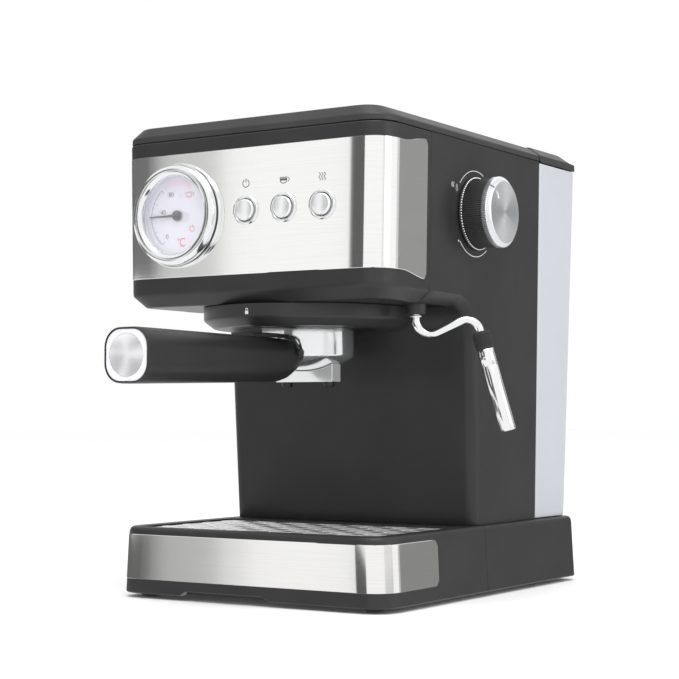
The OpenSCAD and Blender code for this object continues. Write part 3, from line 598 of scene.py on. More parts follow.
def front_panel():
    o = steel_wrap("front_steel_panel", 220.0, 306.0, 57.8, hw, 0.0, 0.35, 0.5, "panel", "front_panel", 3.6, 26.0, (4.6, 4.0))
    cs = [raw(*revolve([(0, 0), (33, 0), (33, 20), (0, 20)], (-57, -8, 262.8), (0, 1, 0), 64))]
    for x in (0.5, 31.3, 62.2):
        cs.append(raw(*revolve([(0, 0), (9.1, 0), (9.1, 20), (0, 20)], (x, -8, 263.2), (0, 1, 0), 40)))
    return cut(o, *cs)


def body_shell():
    """Column, sides and rear of the head: an L-shaped side with an eased lower and front edge."""
    def inner(t):
        # t: 0 at the head seam, 1 at the foot of the column; returns (y, z) of the recessed edge
        pts = [(63.2, 200.5)] + [(63.2 + 8.4 * k, 200.5) for k in range(1, 6)]
        pts += [(107.2 + 17.6 * math.sin(math.radians(a)), 182.9 + 17.6 * math.cos(math.radians(a))) for a in range(4, 91, 7)]
        pts += [(yc(z), z) for z in (176, 160, 130, 100, 75, 60, 46.8)]
        return pts
    P = inner(0)

    def outer():
        pts = [(63.2, 208.7)] + [(63.2 + 8.4 * k, 208.7 - 0.1 * k) for k in range(1, 6)]
        pts += [(107.2 + 24.6 * math.sin(math.radians(a)), 183.6 + 24.6 * math.cos(math.radians(a))) for a in range(4, 91, 7)]
        pts += [(yc(z) + 8, z) for z in (176, 160, 130, 100, 75, 60, 46.8)]
        return pts
    Q = outer()
    n = len(P)
    rows = []
    prof = 8
    for i in range(n):
        (py, pz), (qy, qz) = P[i], Q[i]
        roundness = smooth((i - 4) / 10)
        half = hw(qz)
        row = []
        for k in range(prof + 1):
            a = math.radians(90 * k / prof)
            # chamfer with eased ends, turning into a quarter round
            cu, cv = k / prof, k / prof
            ru, rv = 1 - math.cos(a), math.sin(a)
            u = lerp(cu, ru, 0.25 + 0.75 * roundness)
            w = lerp(cv, rv, 0.25 + 0.75 * roundness)
            row.append((half - 8.5 * (1 - w), lerp(py, qy, u), lerp(pz, qz, u)))
        rows.append(row)
    verts, faces = [], []
    for s in (-1, 1):
        off = len(verts)
        for row in rows:
            verts += [V(s * x, y, z) for x, y, z in row]
        faces += grid_faces(n, prof + 1, off=off)
    # front face of the column and the fillet under the head
    off = len(verts)
    first = 4
    for i in range(first, n):
        y, z = P[i]
        x = rows[i][0][0]
        verts += [V(lerp(-x, x, k / 12), y, z) for k in range(13)]
    faces += grid_faces(n - first, 13, off=off)
    # narrow strips of the underside beside the closing plate, turned up
    for s in (-1, 1):
        off = len(verts)
        for i in range(0, first + 1):
            y, z = P[i]
            verts += [V(s * rows[i][0][0], y, z), V(s * 95.9, y, z), V(s * 95.9, y, z + 2.5)]
        faces += grid_faces(first + 1, 3, off=off)
    # flat side faces
    for s in (-1, 1):
        off = len(verts)
        edge = [V(s * hw(z), y, z) for y, z in Q]
        ring = edge + [V(s * hw(46.8), 228, 46.8), V(s * hw(130), 228, 130), V(s * hw(220), 228, 220), V(s * 109, 228, 315.9), V(s * 109, 63.2, 315.9)]
        verts += ring
        faces.append(tuple(off + k for k in range(len(ring))))
    # back, top edge and bottom edge
    off = len(verts)
    for z in (46.8, 130, 220, 315.9):
        verts += [V(-hw(z), 228, z), V(hw(z), 228, z)]
    faces += grid_faces(4, 2, off=off)
    off = len(verts)
    verts += [V(-109, 228, 315.9), V(109, 228, 315.9), V(106, 225, 315.9), V(-106, 225, 315.9),
              V(-109, 63.2, 315.9), V(109, 63.2, 315.9), V(106, 63.2, 315.9), V(-106, 63.2, 315.9)]
    faces += [(off, off + 1, off + 2, off + 3), (off, off + 3, off + 7, off + 4), (off + 1, off + 5, off + 6, off + 2)]
    # two loose points only; the inside faces of the walls, seen when the tank is away or from below the head, come
    # from the solidify modifier below
    off = len(verts)
    verts += [V(-106, 63.2, 212), V(106, 63.2, 212)]
    faces += []
    o = build("body_shell_moulding", verts, faces, "shell", "machine", ["body_shell"], sharp=30)
    md = o.modifiers.new("wall", "SOLIDIFY")
    md.thickness = 0.0026
    md.offset = -1
    o.modifiers.move(len(o.modifiers) - 1, 0)
    return o


def top_cover():
    rings = []
    prof = [(0.5, 0.5, 316.3, 25.5), (0.0, 0.0, 316.7, 26), (0.0, 0.0, 319.6, 26), (0.3, 0.12, 320.4, 25.8), (1.0, 0.42, 321.2, 25.2)]
    prof += [(8.4, 3.4, 326.3, 19.4), (9.3, 3.8, 326.9, 18.6), (10.4, 4.5, 327.3, 17.6), (12.0, 6.0, 327.5, 16.2), (15, 9, 327.5, 14)]
    for sx, sy, z, r in prof:
        rings.append([V(x, y, z) for x, y in rrect(-109 + sx, 109 - sx, 0.6 + sy, 228 - min(sy, 0.3), r, 1.0, 16, (), 3.0)])
    v, f = loft(rings)
    return build("top_cover_moulding", v, f, "cover", "machine", ["top_cover"], sharp=38)


def base_front():
    fx = [-86, -70, -58, -55, -50, -30, -10, 15, 20, 24, 40, 60, 80]

    def arch(x, y):
        if y > 6:
            return 0.0
        return 3.0 * smooth((x + 55) / 5.5) * smooth((20 - x) / 5.5)
    rings = []

    def ring(x, y0, y1, rf, rb, z, use_arch=False):
        pts = rrect(-x, x, y0, y1, rf, rb, 14, [max(-x + rf, min(x - rf, q)) for q in fx], 2.53 if rf > 11 else None)
        return [V(px, py, z + (arch(px, py) if use_arch else 0)) for px, py in pts]
    rings.append(ring(104, 5, 136, 12, 1.0, 9.5))
    rings.append(ring(104, 5, 136, 12, 1.0, 0.5, True))
    rings.append(ring(110.2, -0.4, 138.6, 21.2, 0.6, 0.3, True))
    rings.append(ring(111.0, -1.0, 138.8, 22, 0.6, 1.1, True))
    for z in (6.0, 10, 25, 41.4):
        rings.append(ring(111 - 0.05 * z, -1 + 0.012 * z, 138.8, 22, 0.6, z))
    for z, i in ((43.0, 0.15), (44.3, 0.55), (45.4, 1.25), (46.2, 2.2), (46.5, 3.3)):
        rings.append(ring(108.9 - i, -0.5 + i, 138.8, 22 - i, 0.6, z))
    rings.append(ring(98.4, 5.6, 120.4, 6.0, 6.0, 46.5))
    rings.append(ring(97.4, 6.6, 119.4, 5.2, 5.2, 46.1))
    rings.append(ring(97.0, 7.0, 119.0, 5.0, 5.0, 45.2))
    rings.append(ring(97.0, 7.0, 119.0, 5.0, 5.0, 12.0))
    v, f = loft(rings)
    return build("base_front_moulding", v, f, "shell", "machine", ["base_front"], sharp=36)


def base_rear():
    rings = []

    def ring(x, y0, y1, rf, rb, z):
        return [V(px, py, z) for px, py in rrect(-x, x, y0, y1, rf, rb, 8)]
    rings.append(ring(105, 140.5, 285, 1, 6, 43.2))
    rings.append(ring(105, 140.5, 285, 1, 6, 0.6))
    rings.append(ring(110.3, 139.3, 289.4, 0.6, 9.4, 0.3))
    rings.append(ring(111.0, 139.2, 290.0, 0.6, 10, 1.1))
    for z in (10, 25, 41.4):
        rings.append(ring(111 - 0.05 * z, 139.2, 290 - 0.014 * z, 0.6, 10, z))
    for z, i in ((43.0, 0.15), (44.3, 0.55), (45.4, 1.25), (46.2, 2.2), (46.5, 3.3)):
        rings.append(ring(108.9 - i, 139.2, 289.4 - i, 0.6, 10 - i, z))
    v, f = loft(rings)
    o = build("base_rear_moulding", v, f, "shell", "machine", ["base_rear"], sharp=36)
    cs = [raw(*revolve([(0, 0), (6.6, 0), (6.6, 20), (0, 20)], (-75, 278, 22), (0, 1, 0), 40))]
    for k in range(8):
        cs.append(raw(*block(-20 + 10 * k, -15 + 10 * k, 280, 295, 14, 28)))
    cs.append(raw(*revolve([(0, 0), (3, 0), (3, 12), (0, 12)], (40, 262, 40), (0, 0, 1), 32)))
    cs.append(raw(*revolve([(0, 0), (6, 0), (6, 12), (0, 12)], (-30, 178, 40), (0, 0, 1), 32)))
    return cut(o, *cs)


def base_band():
    return steel_wrap("base_steel_band", 10.2, 41.3, 69.0, lambda z: 111 - 0.05 * z, lambda z: -1 + 0.012 * z, 0.35, 0.5, "band", "base_band", 3.6, 22.0, (0, 0), 2.53)


def water_tank():
    def yr(z):
        return 292 - 0.039 * max(0, 315 - z)
    rings = []

    def ring(z, i, rb=4.5):
        return [V(x, y, z) for x, y in rrect(-hw(z) + i, hw(z) - i, 229 + i, yr(z) - i, max(0.6, 3 - i), max(0.8, rb - i), 8)]
    rings.append(ring(46.9, 1.4))
    rings.append(ring(47.3, 0.5))
    rings.append(ring(48.4, 0.0))
    for k in range(1, 9):
        rings.append(ring(lerp(48.4, 314.6, k / 8), 0.0))
    rings.append(ring(315.0, 0.4))
    rings.append(ring(315.0, 2.2))
    for k in range(7, -1, -1):
        rings.append(ring(lerp(51, 314.6, k / 8), 2.6))
    rings.append(ring(49.6, 4.0))
    v, f = loft(rings)
    lugs = []
    for x in (-60, 60):
        lugs.append(block(x - 3, x + 3, 230.7, 236.5, 305, PIN_Z))
        lugs.append(revolve([(0, 0), (2.9, 0), (2.9, 6), (0, 6)], (x - 3, 233.6, PIN_Z), (1, 0, 0), 32))
    lugs.append(block(27, 30, 259, 265, 49, 70))
    lugs.append(block(51, 54, 259, 265, 49, 70))
    lugs.append(block(26, 54, 259, 265, 69, 71))
    v, f = merge((v, f), *lugs)
    o = build("water_tank_wall", v, f, "tank", "tank", ["water_tank"], sharp=38, weighted=False)
    c = [raw(*revolve([(0, 0), (7.3, 0), (7.3, 8), (0, 8)], (40, 262, 44), (0, 0, 1), 40))]
    c.append(raw(*revolve([(0, 0), (2.1, 0), (2.1, 6), (0, 6)], (40, 262, 67), (0, 0, 1), 24)))
    return cut(o, *c)


def tank_lid():
    py, pz = 233.6, PIN_Z
    # side section from the rounded front edge over the top, down the rear slope and under
    sec = [(230.0, 318.2), (229.6, 319.6)]
    sec += [(py + 4.7 * math.cos(math.radians(a)), pz + 4.8 * math.sin(math.radians(a))) for a in range(200, 89, -10)]
    sec += [(250, LT), (278, LT), (281.6, LT - 0.15), (283.9, LT - 0.8), (290.2, 322.6), (291.5, 321.3), (292.0, 319.8), (292.0, 316.5), (291.6, 316.0)]
    sec += [(283, 316.0), (282, 316.4), (280, 324.2), (241, 324.2), (239.6, 316.4), (238.8, 316.0), (234.0, 316.0), (230.4, 317.6)]
    rings = []
    xs = [(-108.5, 1.0), (-108.2, 0.93), (-107.2, 0.84), (-100.6, 0.18), (-99.4, 0.08), (-98.2, 0.02), (-96.5, 0.0), (-64, 0), (-30, 0), (30, 0), (64, 0), (96.5, 0.0), (98.2, 0.02), (99.4, 0.08), (100.6, 0.18), (107.2, 0.84), (108.2, 0.93), (108.5, 1.0)]
    for x, d in xs:
        r = []
        for k, (y, z) in enumerate(sec):
            zz = z
            if z > 321.0 and not (239 < y < 282.5 and z < 324.5):
                zz = lerp(z, 321.0, d)
            if abs(x) > 98 and 316.3 < z < 324.5 and 239 < y < 282.5:
                zz = 316.2
            r.append(V(x, y, zz))
        rings.append(r)
    v, f = loft(rings)
    o = build("tank_lid_moulding", v, f, "cover", "lid", ["tank_lid"], sharp=34)
    cs = []
    for x in (-60, 60):
        cs.append(raw(*block(x - 3.4, x + 3.4, 226, 238.6, 310, PIN_Z + 3.4)))
    return cut(o, *cs)


# --------------------------------------------------------------- group parts
def group_collar():
    prof = [(48.4, 200.2), (48.4, 186), (48.9, 185.2), (64.8, 185.0), (66.4, 185.35), (67.6, 186.1), (72.6, 189.9), (73.6, 190.9), (74.0, 192.0), (74.0, 199.8), (73.7, 200.2)]
    v, f = revolve(prof, (0, 76.4, 0), (0, 0, 1), 144, closed=True)
    o = build("group_collar_ring", v, f, "dark", "machine", ["group_collar"], sharp=40)
    return cut(o, raw(*block(-100, 100, 124.6, 190, 170, 210)))


def cup():
    bowl = []
    R, cz = 58.6, 214.5
    for k in range(0, 13):
        r = lerp(6.0, 31.9, k / 12)
        bowl.append((r, cz - math.sqrt(R * R - r * r)))
    prof = [(0.0, 156.2), (5.4, 156.2)] + bowl + [(32.5, 166.3), (32.75, 167.0), (32.75, 186.9), (32.6, 187.5), (32.75, 190.6), (32.3, 191.0), (30.8, 191.0), (30.3, 190.5), (30.3, 167.9), (24, 167.6), (0.0, 162.0)]
    a = revolve(prof, (0, 76.4, 0), (0, 0, 1), 128)
    ears = []
    for a0 in (-18, 162):
        pts = []
        rings = []
        for k in range(13):
            t = math.radians(a0 + 36 * k / 12)
            d = (math.cos(t), math.sin(t))
            rings.append([V(r * d[0], 76.4 + r * d[1], z) for r, z in ((30.6, 187.6), (37.4, 187.6), (37.7, 187.9), (37.7, 190.7), (37.4, 191.0), (30.6, 191.0))])
        ears.append(loft(rings))
    v, f = merge(a, *ears)
    return build("portafilter_cup_body", v, f, "cupsteel", "portafilter", ["portafilter_cup"], sharp=36)


def spout():
    R, cz = 58.75, 214.5
    pts = [(-24, 148.6), (-23.4, 148), (23.4, 148), (24, 148.6), (24, 160.9)]
    pts += [(x, cz - math.sqrt(R * R - x * x)) for x in (22, 18, 14, 10, 5, 0, -5, -10, -14, -18, -22)]
    pts += [(-24, 160.9)]
    v, f = prism(pts, lambda x, z: V(x, 76.4 - 5.6, z), lambda x, z: V(x, 76.4 + 5.6, z))
    o = build("twin_spout_body", v, f, "spoutsteel", "portafilter", ["spout"], sharp=30, bevel=0.9, segs=3)
    return o


def spout_nozzles():
    parts = []
    for x in (-17.8, 17.8):
        parts.append(revolve([(2.6, 149.5), (2.6, 145.0), (3.1, 144.7), (3.6, 145.0), (3.8, 145.7), (3.8, 149.5)], (x, 76.4, 0), (0, 0, 1), 40, closed=True))
    v, f = merge(*parts)
    return build("spout_nozzles", v, f, "nozzle", "portafilter", [], sharp=50)


def rsec(y, w, top, bot, r, n=8):
    cx = w / 2
    pts = arc(cx - r, top - r, r, 0, 90, n) + arc(-cx + r, top - r, r, 90, 180, n) + arc(-cx + r, bot + r, r, 180, 270, n) + arc(cx - r, bot + r, r, 270, 360, n)
    return [V(x, y, z) for x, z in pts]


def handle():
    e = -125.6
    secs = [(e + 4.6, 32.6, 177.8, 145.2, 11.6), (e + 0.4, 33.0, 178.0, 145.0, 11.7), (e + 0.15, 33.7, 178.35, 144.65, 11.9), (e + 0.7, 34.5, 178.75, 144.25, 12.2), (e + 2.6, 34.9, 178.95, 144.05, 12.4), (e + 9, 35.0, 179.0, 144.0, 12.4)]
    for k in range(1, 9):
        t = k / 8
        secs.append((lerp(e + 9, 12, t), lerp(35, 33, t), lerp(179.0, 177.8, t), lerp(144.0, 146.8, t), lerp(12.4, 12.0, t)))
    # blunt nose that closes round the cup, its underside drawn up like a bow
    for t, k in ((0.25, 0.02), (0.45, 0.06), (0.62, 0.16), (0.76, 0.32), (0.87, 0.53), (0.95, 0.76), (1.0, 1.0)):
        y = lerp(12, 50.5, t)
        bot = lerp(146.8, 162.5, k)
        top = lerp(177.8, 175.4, k ** 0.8)
        w = lerp(33, 31.0, k)
        secs.append((y, w, top, bot, min(12.0, (top - bot) / 2 - 0.3, w / 2 - 0.5)))
    rings = [rsec(*s) for s in secs]
    v, f = loft(rings)
    o = build("handle_grip", v, f, "handle", "portafilter", ["handle"], sharp=40)
    return cut(o, raw(*revolve([(0, 140), (33.05, 140), (33.05, 200), (0, 200)], (0, 76.4, 0), (0, 0, 1), 96)))


def handle_cap():
    e = -125.6
    n = 96

    def rs(y, w, r):
        h, c = w / 2, w / 2 - r
        ring = []
        for k in range(n):
            t = math.radians(360 * (k + 0.5) / n)
            dx, dz = math.cos(t), math.sin(t)
            q = h / max(abs(dx), abs(dz))
            if abs(q * dx) > c and abs(q * dz) > c:
                b = c * (abs(dx) + abs(dz))
                q = b + math.sqrt(b * b - 2 * c * c + r * r)
            ring.append(V(q * dx, y, 161.5 + q * dz))
        return ring
    rings = [rs(e + 4.2, 30, 10), rs(e + 3.9, 32.4, 11.4), rs(e + 1.3, 32.4, 11.4), rs(e + 0.9, 32.2, 11.3), rs(e + 0.62, 31.6, 11.1), rs(e + 0.5, 30.6, 10.8)]
    def disc(r, d0):
        return [V(r * math.cos(math.radians(360 * (k + 0.5) / n)), e + d0, 161.5 + r * math.sin(math.radians(360 * (k + 0.5) / n))) for k in range(n)]
    rings += [disc(13.9, 0.5), disc(13.6, 0.58), disc(13.5, 0.8), disc(13.5, 3.2)]
    v, f = loft(rings)
    o = build("handle_end_cap", v, f, "satin", "portafilter", ["handle_cap"], sharp=42)
    # round shallow dish set in the flat rim
    rings = [disc(13.45, 3.1), disc(13.45, 0.75)]
    for r in (13.3, 12.9, 12.2, 11.2, 9.4, 7.2, 4.8, 2.4, 0.6):
        rings.append(disc(r, 0.72 + 2.1 * (1 - (r / 13.4) ** 2)))
    v, f = loft(rings)
    build("handle_cap_dish", v, f, "dish", "portafilter", [], sharp=42)
    return o


def filter_clip():
    parts = []
    rings = []
    for y, i in ((16, 0.8), (16.6, 0.2), (18, 0), (33, 0), (35, 0.3), (35.6, 1.0)):
        z1 = 180.9 - i
        rings.append([V(x, y, z) for x, z in ((-6 + i, 178.2), (6 - i, 178.2), (6, 179), (6 - i * 0.5, z1 - 0.6), (5.2 - i, z1), (-5.2 + i, z1), (-6 + i * 0.5, z1 - 0.6), (-6, 179))])
    parts.append(loft(rings))
    for s in (-1, 1):
        parts.append(tube([V(s * 6, 34, 179.6), V(s * 10.5, 35.5, 179.0), V(s * 14.2, 37, 176.9), V(s * 15.9, 38.8, 173.0), V(s * 16.4, 41.0, 168)], 1.1, 14))
        parts.append(revolve([(0, 0), (2.3, 0), (2.6, 0.4), (2.6, 2.0), (2.2, 2.4), (0, 2.4)], (s * 15.6, 41.0, 167.6), (s, 0, 0), 28))
    v, f = merge(*parts)
    return build("filter_clip_lever", v, f, "dark", "portafilter", ["filter_clip"], sharp=40)


def grille_lips():
    """Low pressed lip round every slot of the grille."""
    parts = []
    for j in range(8):
        for i in range(6 + j % 2):
            cx, cy = -72 + 28 * i - (j % 2) * 14, 22.5 + 12 * j
            rings = []
            for g, z in ((0.95, 44.95), (0.7, 45.2), (0.4, 45.32), (0.15, 45.28), (0.0, 45.1), (0.0, 44.2)):
                rings.append([V(cx + sx * (8.2 + g) + 0.8 * math.cos(t), cy + sy * (1.7 + g) + 0.8 * math.sin(t), z)
                              for sx, sy, a0 in ((1, 1, 0), (-1, 1, 90), (-1, -1, 180), (1, -1, 270)) for t in [math.radians(a0 + k * 30) for k in range(4)]])
            parts.append(loft(rings, False, False))
    v, f = merge(*parts)
    return build("grille_slot_lips", v, f, "lipsteel", "grille", [], sharp=50, weighted=False)


# --------------------------------------------------------------------- dial
GC = (-57, 0, 262.8)


def bezel():
    # closed section: (radius, towards the front); a foot ring, a groove and a fat round ring
    prof = [(27.95, -1.0), (27.95, 1.0), (26.9, 1.2), (26.9, 5.4)]
    prof += [(31.05 + 4.25 * math.cos(math.radians(a)), 5.0 + 4.2 * math.sin(math.radians(a))) for a in range(168, -25, -8)]
    prof += [(34.2, 3.0), (34.2, 1.9), (35.8, 1.85), (36.4, 1.5), (36.6, 0.9), (36.6, 0.35), (33, 0.3), (32.9, -4.0), (29.7, -4.0), (29.7, -1.0)]
    v, f = revolve(prof, GC, (0, -1, 0), 192, closed=True)
    o = build("gauge_bezel_ring", v, f, "bezelchrome", "machine", ["gauge_bezel"], sharp=44)
    # painted shade: a dark ring in the groove between the ring and its foot stands in for the shadow there
    v, f = revolve([(34.0, 1.95), (35.1, 1.95), (35.15, 2.1), (35.0, 3.25), (34.0, 3.4)], GC, (0, -1, 0), 144, closed=True)
    build("gauge_bezel_groove_painted_shade", v, f, "dark", "machine", [], sharp=44)
    return o


def on_dial(r, deg, lift=0.0):
    """Point on the dial: deg 0 points to the viewer's right, 90 up."""
    a = math.radians(deg)
    return V(GC[0] + r * math.cos(a), -0.62 - lift, GC[2] + r * math.sin(a))


def dial_arc(r0, r1, a0, a1, lift, n=40):
    f0 = [on_dial(r0, lerp(a0, a1, k / n), lift) for k in range(n + 1)]
    f1 = [on_dial(r1, lerp(a0, a1, k / n), lift) for k in range(n + 1)]
    b0 = [on_dial(r0, lerp(a0, a1, k / n), -0.05) for k in range(n + 1)]
    b1 = [on_dial(r1, lerp(a0, a1, k / n), -0.05) for k in range(n + 1)]
    rings = [[b0[k], f0[k], f1[k], b1[k]] for k in range(n + 1)]
    return loft(rings)


def tick(r0, r1, deg, w, lift=0.06):
    d = w / 2
    q = []
    for l in (-0.05, lift):
        for r, s in ((r0, -1), (r0, 1), (r1, 1), (r1, -1)):
            off = math.degrees(s * d / r)
            q.append(on_dial(r, deg + off, l))
    return q, [(0, 1, 2, 3), (4, 7, 6, 5), (0, 4, 5, 1), (1, 5, 6, 2), (2, 6, 7, 3), (3, 7, 4, 0)]


def glyph(text, x, y, z, size, lift=0.06):
    """Generic numerals as a thin mesh in the front plane, centred on (x, z)."""
    cu = bpy.data.curves.new("num", "FONT")
    cu.body = text
    cu.size = size / 1000
    cu.align_x = "CENTER"
    cu.align_y = "CENTER"
    cu.extrude = lift / 2000
    cu.resolution_u = 3
    ob = bpy.data.objects.new("num", cu)
    bpy.context.scene.collection.objects.link(ob)
    bpy.context.view_layer.update()
    me = bpy.data.meshes.new_from_object(ob.evaluated_get(bpy.context.evaluated_depsgraph_get()))
    verts = [V(x, y, z) + Vector((v.co.x, v.co.z * -1 - lift / 2000, v.co.y)) for v in me.vertices]
    faces = [tuple(p.vertices) for p in me.polygons]
    bpy.data.objects.remove(ob)
    bpy.data.curves.remove(cu)
    bpy.data.meshes.remove(me)
    return verts, faces


def strip(pts, w, y, lift=0.06, closed=False):
    """Flat drawn line in the front plane through (x, z) points."""
    n = len(pts)
    rings = []
    idx = range(n + 1) if closed else range(n)
    for i in idx:
        p = pts[i % n]
        a = pts[(i - 1) % n] if closed or i else pts[0]
        b = pts[(i + 1) % n] if closed or i < n - 1 else pts[-1]
        dx, dz = b[0] - a[0], b[1] - a[1]
        l = math.hypot(dx, dz) or 1
        nx, nz = -dz / l * w / 2, dx / l * w / 2
        rings.append([V(p[0] + nx, y, p[1] + nz), V(p[0] + nx, y - lift, p[1] + nz), V(p[0] - nx, y - lift, p[1] - nz), V(p[0] - nx, y, p[1] - nz)])
    if closed:
        return loft(rings, False, False)
    return loft(rings)


def circle(cx, cz, r, a0=0, a1=360, n=28):
    return [(cx + r * math.cos(math.radians(lerp(a0, a1, k / n))), cz + r * math.sin(math.radians(lerp(a0, a1, k / n)))) for k in range(n + (0 if a1 - a0 == 360 else 1))]


def dial():
    v, f = revolve([(0, 0.62), (27.7, 0.62), (27.75, 0.55), (27.75, -0.4), (0, -0.4)], GC, (0, -1, 0), 96)
    build("gauge_dial_face", v, f, "dial", "machine", ["gauge_dial"], sharp=40)
    grey = [dial_arc(23.2, 23.9, 128, 236, 0.05)]
    for k in range(13):
        a = 128 + 108 * k / 12
        grey.append(tick(20.6 if k % 3 == 0 else 21.6, 23.2, a, 0.5 if k % 3 == 0 else 0.3))
    v, f = merge(*grey)
    build("dial_scale", v, f, "inklight", "machine", [], sharp=60, weighted=False)
    pink = [dial_arc(21.2, 25.4, 62, 122, 0.045)]
    v, f = merge(*pink)
    build("dial_hot_zone", v, f, "pink", "machine", [], sharp=60, weighted=False)
    nums = [glyph("80", GC[0] - 6.2, -0.62, GC[2] + 15.0, 4.6), glyph("40", GC[0] - 13.2, -0.62, GC[2] + 3.0, 4.6), glyph("0", GC[0] - 9.5, -0.62, GC[2] - 14.2, 4.6)]
    v, f = merge(*nums)
    build("dial_numerals", v, f, "ink", "machine", [], sharp=60, weighted=False)
    y = -0.62
    cx, cz = GC[0] + 9.4, GC[2] + 14.6
    red = [strip([(cx - 2.4, cz + 1.2), (cx - 2.1, cz - 1.2), (cx - 1.2, cz - 2.0), (cx + 1.2, cz - 2.0), (cx + 2.1, cz - 1.2), (cx + 2.4, cz + 1.2)], 0.5, y, closed=True),
           strip(circle(cx + 2.9, cz - 0.1, 1.2, -80, 80, 10), 0.45, y)]
    cx, cz = GC[0] + 12.2, GC[2] - 9.2
    red += [strip(circle(cx, cz - 0.3, 2.0, 120, 420, 24), 0.45, y), strip([(cx, cz + 0.4), (cx, cz + 2.6)], 0.45, y)]
    cx, cz = GC[0] + 4.4, GC[2] - 18.6
    red += [strip(circle(cx, cz, 2.6, 50, 310, 24), 0.75, y), strip(circle(cx - 3.9, cz + 2.0, 0.6), 0.35, y, closed=True)]
    v, f = merge(*red)
    build("dial_red_marks", v, f, "red", "machine", [], sharp=60, weighted=False)


def needle():
    parts = [revolve([(0, 3.4), (3.0, 3.4), (3.4, 3.25), (3.6, 2.9), (3.6, 1.2), (0.8, 1.2), (0.8, -9.7), (0, -9.7)], GC, (0, -1, 0), 48)]
    c = V(*GC)
    q = []
    for yy in (2.0, 2.6):
        for r, w in ((0.0, 0.85), (8.0, 0.72), (24.0, 0.40)):
            q += [c + Vector((-r, -yy, w)) / 1000, c + Vector((-r, -yy, -w)) / 1000]
    f = [(0, 1, 3, 2), (2, 3, 5, 4), (6, 8, 9, 7), (8, 10, 11, 9), (0, 2, 8, 6), (2, 4, 10, 8), (1, 7, 9, 3), (3, 9, 11, 5), (4, 5, 11, 10), (0, 6, 7, 1)]
    parts.append((q, f))
    v, f = merge(*parts)
    return build("gauge_pointer_arm", v, f, "inkmid", "gauge_pointer", ["gauge_needle"], sharp=40)


# --------------------------------------------------------------------- keys
BX = (0.5, 31.3, 62.2)
BZ = 263.2


def keys():
    rings = []
    for x in BX:
        prof = [(7.6, -6.2), (8.9, -6.2), (8.9, 0.3), (10.2, 0.35), (10.2, 0.9), (10.0, 1.5), (9.5, 1.9), (8.9, 1.95), (8.35, 1.7), (7.9, 1.0), (7.6, 0.3)]
        rings.append(revolve(prof, (x, 0, BZ), (0, -1, 0), 72, closed=True))
    v, f = merge(*rings)
    build("button_trim_rings", v, f, "chrome", "machine", ["button_rings"], sharp=40)
    for name, body, x in (("button_power", "power_key", BX[0]), ("button_coffee", "coffee_key", BX[1]), ("button_steam", "steam_key", BX[2])):
        dome = [(r, 3.45 - 0.0075 * r * r) for r in (0, 1.3, 2.6, 3.9, 5.2, 6.3)]
        prof = [(0, 3.45)] + dome[1:] + [(6.75, 3.0), (7.1, 2.7), (7.28, 2.2), (7.3, 1.6), (7.3, -6.6), (8.8, -6.6), (8.8, -8.0), (2.4, -8.0), (2.4, -14.1), (0, -14.1)]
        v, f = revolve(prof, (x, 0, BZ), (0, -1, 0), 72)
        build(name + "_cap", v, f, "keycap", body, [name], sharp=34)
    # generic symbols above the keys: power, cup, steam
    y = -0.36
    x, z = BX[0], BZ + 18.4
    sy = [strip(circle(x, z - 0.3, 2.6, 120, 420, 28), 0.6, y), strip([(x, z + 0.2), (x, z + 3.2)], 0.6, y)]
    x = BX[1]
    sy += [strip([(x - 2.9, z + 1.6), (x - 2.5, z - 1.2), (x - 1.4, z - 2.2), (x + 1.4, z - 2.2), (x + 2.5, z - 1.2), (x + 2.9, z + 1.6)], 0.6, y, closed=True),
           strip([(x - 2.6, z + 0.2), (x + 2.6, z + 0.2)], 1.6, y),
           strip(circle(x + 3.3, z + 0.1, 1.3, -75, 75, 10), 0.5, y)]
    x = BX[2]
    for k in (-2.0, 0.0, 2.0):
        sy.append(strip([(x + k + 0.7 * math.sin(t * 1.5), z - 2.6 + 0.75 * t) for t in range(8)], 0.5, y))
    v, f = merge(*sy)
    build("key_symbols", v, f, "ink", "machine", [], sharp=60, weighted=False)


# --------------------------------------------------------------------- knob
KY, KZ = 126.8, 266.3


